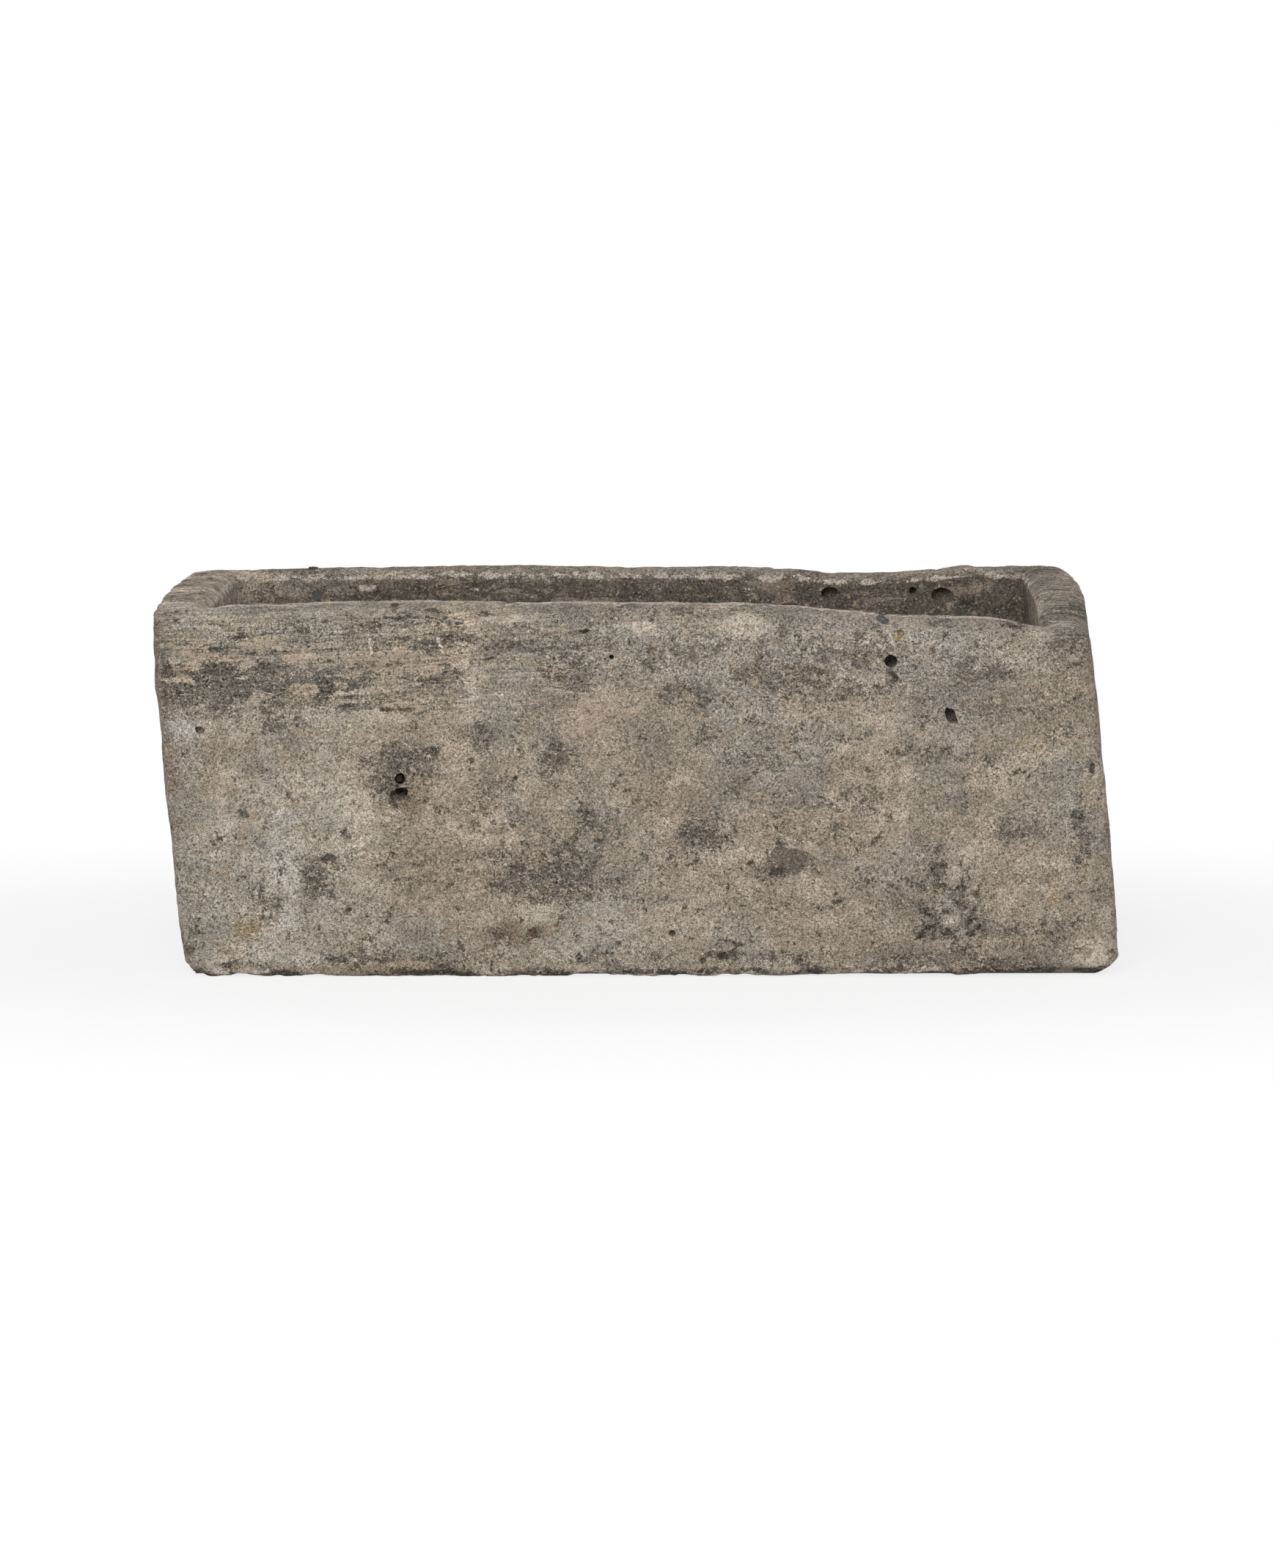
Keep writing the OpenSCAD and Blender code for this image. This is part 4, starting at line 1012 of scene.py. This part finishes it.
def makeRust(name, tone):
    tree, where, material = newMaterial(name)
    grain, flakes = grainOf(where, 2.0), clumps(where, 420, 5, 0.7)
    patches = step(flakes, 0.35, 0.65)
    scale = stainOf(step(clumps(where, 160, 4, 0.6), 0.3, 0.7), patches, 0.5)[0]
    base = mix(patches, (0.050, 0.034, 0.023, 1), (0.115, 0.070, 0.042, 1))
    base = mix(scale * 0.45, base, (0.180, 0.100, 0.055, 1))
    base = darken(base, remap(grain["Value"], 0.0, 1.0, 0.6 * tone, 1.3 * tone))
    rough, height = remap(scale, 0.0, 1.0, 0.72, 0.95), flakes + grain["Height"]
    return finishMaterial(material, base, rough, height, 0.9, 0.0012, specular=0.3)


def makeMortar():
    tree, where, material = newMaterial("oldLimeMortar")
    grain, patches = grainOf(where, 1.4), clumps(where, 150, 5, 0.65)
    dirt = stainOf(step(patches, 0.35, 0.65), grain["Value"], 0.7)[0]
    base = mix(step(patches, 0.4, 0.6), (0.112, 0.104, 0.090, 1), (0.160, 0.149, 0.128, 1))
    base = mix(dirt * 0.6, base, (0.090, 0.082, 0.070, 1))
    base = darken(base, remap(grain["Value"], 0.0, 1.0, 0.65, 1.35))
    rough, height = remap(dirt, 0.0, 1.0, 0.82, 0.96), patches + grain["Height"]
    return finishMaterial(material, base, rough, height, 0.9, 0.0015, specular=0.25)


rust, blackIron, mortar = makeRust("rustedIron", 1.0), makeRust("blackenedIron", 0.35), makeMortar()

# the iron stubs let into the stone, and the old hole filled with mortar
fixings = {
    "voxel": 0.0007, "pinRough": 0.0005, "stubRough": 0.0012,
    "capRadius": 0.0072, "capProud": 0.0004, "capDeep": 0.0032,
}


def remesh(obj):
    applyModifier(obj, "REMESH", mode="VOXEL", voxel_size=fixings["voxel"])


for name, node, seed in (("frontPin", "front_rim_pin", 41), ("backPin", "back_rim_pin", 42)):
    low, high, middle = middleOf(node)
    pin = addRod(name, (*middle[:2], low[2]), "z", (high[0] - low[0]) / 2, high[2] - low[2] - 0.0004)
    remesh(pin)
    roughen(pin, fixings["pinRough"], 0.0030, seed, lambda co: ease(co[:, 2], high[2] - 0.006, high[2] - 0.003))
    finishPiece(pin, rust, node, "trough", 60)
low, high, middle = middleOf("front_stub")
stub = addRod("brokenStub", (middle[0], low[1], middle[2]), "y", (high[0] - low[0]) / 2, high[1] - low[1])
remesh(stub)
roughen(stub, fixings["stubRough"], 0.0035, 43, lambda co: ease(-co[:, 1], -low[1] - 0.006, -low[1] - 0.002))
finishPiece(stub, blackIron, "front_stub", "trough", 60)
low, high, middle = middleOf("mortar_plug")
fill = addRod("mortarFill", (middle[0], low[1] + 0.0002, middle[2]), "y", (high[0] - low[0]) / 2 + 0.0002,
              high[1] - low[1] - 0.0004)
cutWith(fill, addRod("cap", (middle[0], low[1] - fixings["capProud"], middle[2]), "y", fixings["capRadius"],
                     fixings["capDeep"]), "UNION")
remesh(fill)
co = readPoints(fill)
across, along = co[:, 0] - middle[0], co[:, 2] - middle[2]
angle, front = np.arctan2(along, across), ease(-co[:, 1], -low[1] - 0.0045, -low[1] - 0.0030)
jag = 1 + front * (0.10 * np.cos(3 * angle + 0.6) + 0.16 * clouds(co, 0.005, 2, seed=44))
co[:, 0], co[:, 2] = middle[0] + across * jag, middle[2] + along * jag
setPoints(fill, co)
roughen(fill, fixings["pinRough"], 0.0030, 45, lambda co: ease(-co[:, 1], -low[1] - 0.003, -low[1] - 0.001))
finishPiece(fill, mortar, "mortar_plug", "trough", 60)
print("fixings done")


# the waste with its washers and nut: sizes in millimetres, G 1 1/2 thread
waste = {
    "at": (0.300, 0.0), "flange": 35.0, "top": 85.0, "flangeUnder": 81.0, "seatTop": 22.7, "seatEnd": (21.4, 73.0),
    "well": (20.9, 65.0), "bore": 20.0, "tail": 23.9, "tailEnd": 5.0, "bar": (3.0, 4.0),
    "pitch": 2.309, "threadDepth": 1.45, "threadTop": 58.0, "threadStart": 23.7, "rowsPerTurn": 8, "quickRows": 4,
    "nut": (60.0, 26.0, 38.0), "nutBore": 24.0, "nutMouth": 25.2, "nutFace": 30.6, "nutEdge": 35.0,
    "washerBore": 24.2,
}


def turnAbout(obj, angle, centre):
    pickAll(obj)
    bpy.ops.transform.rotate(value=angle, orient_axis="Z", center_override=centre)
    leaveEdit()


def makeWaste(brass):
    w = waste
    at, centre = w["at"], (*w["at"], 0.05)
    rim, top, under, tail, end, bore = w["flange"], w["top"], w["flangeUnder"], w["tail"], w["tailEnd"], w["bore"]
    body = lathe("wasteBrass", at, [
        (w["seatTop"], top - 0.15), w["seatEnd"], (w["well"][0], w["seatEnd"][1]), w["well"], (bore, w["well"][1]),
        (bore, end), (tail, end), (tail, under), (rim, under), (rim, top - 1.0), (rim - 1.0, top - 0.15),
        (rim - 4.0, top)], 128)
    wide, tall = w["bar"]
    reach, level = (w["well"][0] + tail) / 2, w["well"][1] / 1000
    for turn in (45, 135):  # the crossed bars
        bar = addBox("bar", (at[0] - reach / 1000, -wide / 2000, level),
                     (at[0] + reach / 1000, wide / 2000, level + tall / 1000))
        turnAbout(bar, math.radians(turn), centre)
        cutWith(body, bar, "UNION")
    soften(body, 0.00035)
    # the thread: the side of the tail is divided finely and pushed in along a helix
    start = w["threadStart"] / 1000
    outer = lambda point: math.hypot(point.x - at[0], point.y) > start
    pickEdges(body, lambda a, b: abs(a.z - b.z) > 0.05 and outer(a) and outer(b))
    rows = w["rowsPerTurn"]
    bpy.ops.mesh.subdivide(number_cuts=int((under - end) / w["pitch"] * rows))
    leaveEdit()
    co = readPoints(body)
    x, y, z = co[:, 0] - at[0], co[:, 1], co[:, 2] * 1000
    turned = (z / w["pitch"] - np.arctan2(y, x) / (2 * math.pi)) % 1
    cut = 1 - ease(np.abs(turned - 0.5) * 2, 0.10, 0.92)
    cut = cut * ease(z, end + 0.6, end + 2.0) * (1 - ease(z, w["threadTop"], w["threadTop"] + 2.0))
    cut = cut * (np.hypot(x, y) > start)
    shrink = 1 - cut * w["threadDepth"] / tail
    co[:, 0], co[:, 1] = at[0] + x * shrink, y * shrink
    setPoints(body, co)
    finishPiece(body, brass, "waste_body", "trough", 35)

    size, low, high = w["nut"]
    bore, mouth, face, edge = w["nutBore"], w["nutMouth"], w["nutFace"], w["nutEdge"]
    nut = addRod("backnutBrass", (*at, low / 1000), "z", size / math.cos(math.pi / 6) / 2000, (high - low) / 1000, 6)
    turnAbout(nut, math.pi / 6, centre)
    chamfer = [(face, low - 0.01), (edge, low + 2.5), (edge, high - 2.5), (face, high + 0.01)]
    hole = [(mouth, low - 1.0), (mouth, low + 0.01), (bore, low + 1.2), (bore, high - 1.2), (mouth, high - 0.01),
            (mouth, high + 1.0)]
    cutWith(nut, lathe("chamfer", at, chamfer, 96, True), "INTERSECT")
    cutWith(nut, lathe("nutBore", at, hole, 96, True))
    mergeDoubles(nut, 2e-5)
    soften(nut, 0.0003)
    finishPiece(nut, brass, "backnut", "trough", 35)


def makeWasher(name, node, radius, low, high, edge, material):
    bore = waste["washerBore"]
    washer = lathe(name, waste["at"], [
        (bore, low + edge), (bore + edge, low), (radius - edge, low), (radius, low + edge),
        (radius, high - edge), (radius - edge, high), (bore + edge, high), (bore, high - edge)], 128)
    soften(washer, edge * 0.0004)
    finishPiece(washer, material, node, "trough", 50)


plugSizes = {  # profiles in millimetres, the rest in metres
    "rubber": [(3.05, 74.6), (3.6, 74.3), (18.0, 74.3), (18.8, 75.0), (19.6, 74.3), (20.9, 74.3), (21.26, 74.9),
               (22.15, 83.0), (21.9, 83.5), (22.3, 84.2), (22.4, 85.3), (25.0, 85.3), (26.0, 86.1), (26.0, 88.2),
               (25.2, 89.2), (23.6, 89.3), (22.6, 88.7), (12.0, 88.7), (10.4, 89.3), (3.4, 89.3), (3.05, 89.0)],
    "boss": [(1.5, 72.7), (7.6, 72.75), (8.5, 73.4), (8.5, 74.3), (3.0, 74.3), (3.0, 89.3), (8.5, 89.3), (8.5, 90.0),
             (7.4, 90.8), (4.6, 90.9)],
    "eyeAt": 0.0963, "eyeFoot": 0.0904, "eyeThick": 0.0015, "eyeRadius": 0.0045, "eyeBore": 0.0023,
    "ring": 0.011, "wire": 0.0012, "ringRise": 5.5 / 22,
}


def makePlug(rubber, brass):
    s, at = plugSizes, waste["at"]
    plug = lathe("rubberPlug", at, s["rubber"], 128)
    soften(plug, 0.00025)
    finishPiece(plug, rubber, "plug", "plug", 50)

    boss = lathe("plugBoss", at, s["boss"], 64, True)
    eyeAt, thick, curve = s["eyeAt"], s["eyeThick"], s["eyeRadius"]
    eye = addBox("eye", (at[0] - thick, -curve, s["eyeFoot"]), (at[0] + thick, curve, eyeAt))
    cutWith(eye, addRod("eyeTop", (at[0] - thick, 0, eyeAt), "x", curve, 2 * thick), "UNION")
    cutWith(eye, addRod("eyeBore", (at[0] - 2 * thick, 0, eyeAt), "x", s["eyeBore"], 4 * thick))
    cutWith(boss, eye, "UNION")
    soften(boss, 0.00022)
    finishPiece(boss, brass, "plug_boss", "plug", 40)

    radius, tilt = s["ring"], math.asin(s["ringRise"])
    selectOnly()
    bpy.ops.mesh.primitive_torus_add(location=(at[0], -radius * math.cos(tilt), eyeAt - radius * math.sin(tilt)),
                                     rotation=(tilt, 0, 0), major_segments=128, minor_segments=20,
                                     major_radius=radius, minor_radius=s["wire"])
    ring = nameNew("pullRing")
    # the butt joint of the bent wire, at the far side from the eye
    cutWith(ring, addBox("slit", (at[0] + 0.00015 - 0.0003, -0.0240, 0.080), (at[0] + 0.00015, -0.0190, 0.100)))
    finishPiece(ring, brass, "pull_ring", "ring", 50)


brass, rubber, nylon = makeBrass(), makeRubber(), makeNylon()
makeWaste(brass)
makeWasher("flangeSeal", "flange_seal", 33.0, 78.0, 81.0, 0.6, rubber)
makeWasher("lowerWasher", "lower_washer", 35.0, 40.0, 43.0, 0.5, rubber)
makeWasher("slipWasher", "slip_washer", 34.0, 38.0, 40.0, 0.3, nylon)
makePlug(rubber, brass)
print("waste and plug done")


studio = {
    "floorTone": 0.80, "floorSize": 400, "floorAt": 0.0002, "open": (0.47, 0.17), "shadeNear": 0.80, "shadeFar": 1.0,
    "skyLight": 0.56, "key": (-0.7, -4.7, 2.8), "keyAim": (0, 0, 0.25), "keyPower": 135.0, "keySize": 2.6,
}
photoCamera = {"place": (0.0, -7.277, 1.279), "pitch": 8.46, "lens": 139.8, "sensor": 36.0, "clip": 1000.0}


def seenPlainly(tree):  # 1 for rays that look at the backdrop straight, in a reflection or through glass
    rays = put("LightPath", {}, tree)
    return rays["Is Camera Ray"] | (rays["Is Glossy Ray"] | rays["Is Transmission Ray"])


def setFloor():
    selectOnly()
    bpy.ops.mesh.primitive_plane_add(size=studio["floorSize"], location=(0, 0, studio["floorAt"]))
    floor = nameNew("studioFloor")
    tree, where, material = newMaterial("paleFloor")
    shader = tree.nodes["Principled BSDF"]
    tone = studio["floorTone"]
    mottled = grey(step(clumps(where, 3.0, 3), 0.3, 0.7, tone * 0.985, tone))
    tree.links.new(mottled.socket, shader.inputs["Base Color"])
    shader.inputs["Roughness"].default_value = 0.9
    shader.inputs["Specular IOR Level"].default_value = 0.0
    white = put("Emission", {"Color": (1, 1, 1, 1), "Strength": 1.0}, tree)[0]
    # the floor shows the shadow near the stone and is plain white farther off
    distance = put("VectorMath", {0: vectors("MULTIPLY", where, (0.55, 1.0, 1.0))}, operation="LENGTH")["Value"]
    share = step(distance, 0.35, 0.95, studio["shadeNear"], studio["shadeFar"])
    mixed = put("MixShader", {0: seenPlainly(tree) * share, 1: wire(tree, shader.outputs[0]), 2: white})[0]
    # it is open under the stone and clear from below, so that the underside can be looked at
    spread = vectors("MULTIPLY", where, (1 / studio["open"][0], 1 / studio["open"][1], 0.0))
    apart = put("SeparateXYZ", {0: put("VectorMath", {0: spread}, operation="ABSOLUTE")[0]})
    clear = apart[0].maths("LESS_THAN", apart[0] | apart[1], 1.0) | put("NewGeometry", {}, tree)["Backfacing"]
    laid = put("MixShader", {0: clear, 1: mixed, 2: put("BsdfTransparent", {}, tree)[0]})[0]
    tree.links.new(laid.socket, tree.nodes["Material Output"].inputs[0])
    floor.data.materials.append(material)


def setLight():
    world = bpy.data.worlds.new("studioWorld")
    bpy.context.scene.world = world
    world.use_nodes = True
    sky = world.node_tree.nodes["Background"]
    strength = remap(seenPlainly(world.node_tree), 0.0, 1.0, studio["skyLight"], 1.0)
    sky.inputs["Color"].default_value = (1, 1, 1, 1)
    world.node_tree.links.new(strength.socket, sky.inputs["Strength"])

    lamp = bpy.data.lights.new("keyLight", "AREA")
    lamp.shape, lamp.size, lamp.energy = "DISK", studio["keySize"], studio["keyPower"]
    key = bpy.data.objects.new("keyLight", lamp)
    bpy.context.scene.collection.objects.link(key)
    key.location = studio["key"]
    key.rotation_euler = (Vector(studio["keyAim"]) - Vector(studio["key"])).to_track_quat("-Z", "Y").to_euler()


def setCamera():
    camera = bpy.data.cameras.new("photoCamera")
    camera.lens, camera.sensor_width, camera.clip_end = (photoCamera[name] for name in ("lens", "sensor", "clip"))
    holder = bpy.data.objects.new("photoCamera", camera)
    bpy.context.scene.collection.objects.link(holder)
    holder.location = photoCamera["place"]
    holder.rotation_euler = (math.radians(90 - photoCamera["pitch"]), 0, 0)
    bpy.context.scene.camera = holder


setFloor()
setLight()
setCamera()
bpy.context.scene.view_settings.view_transform = "Standard"
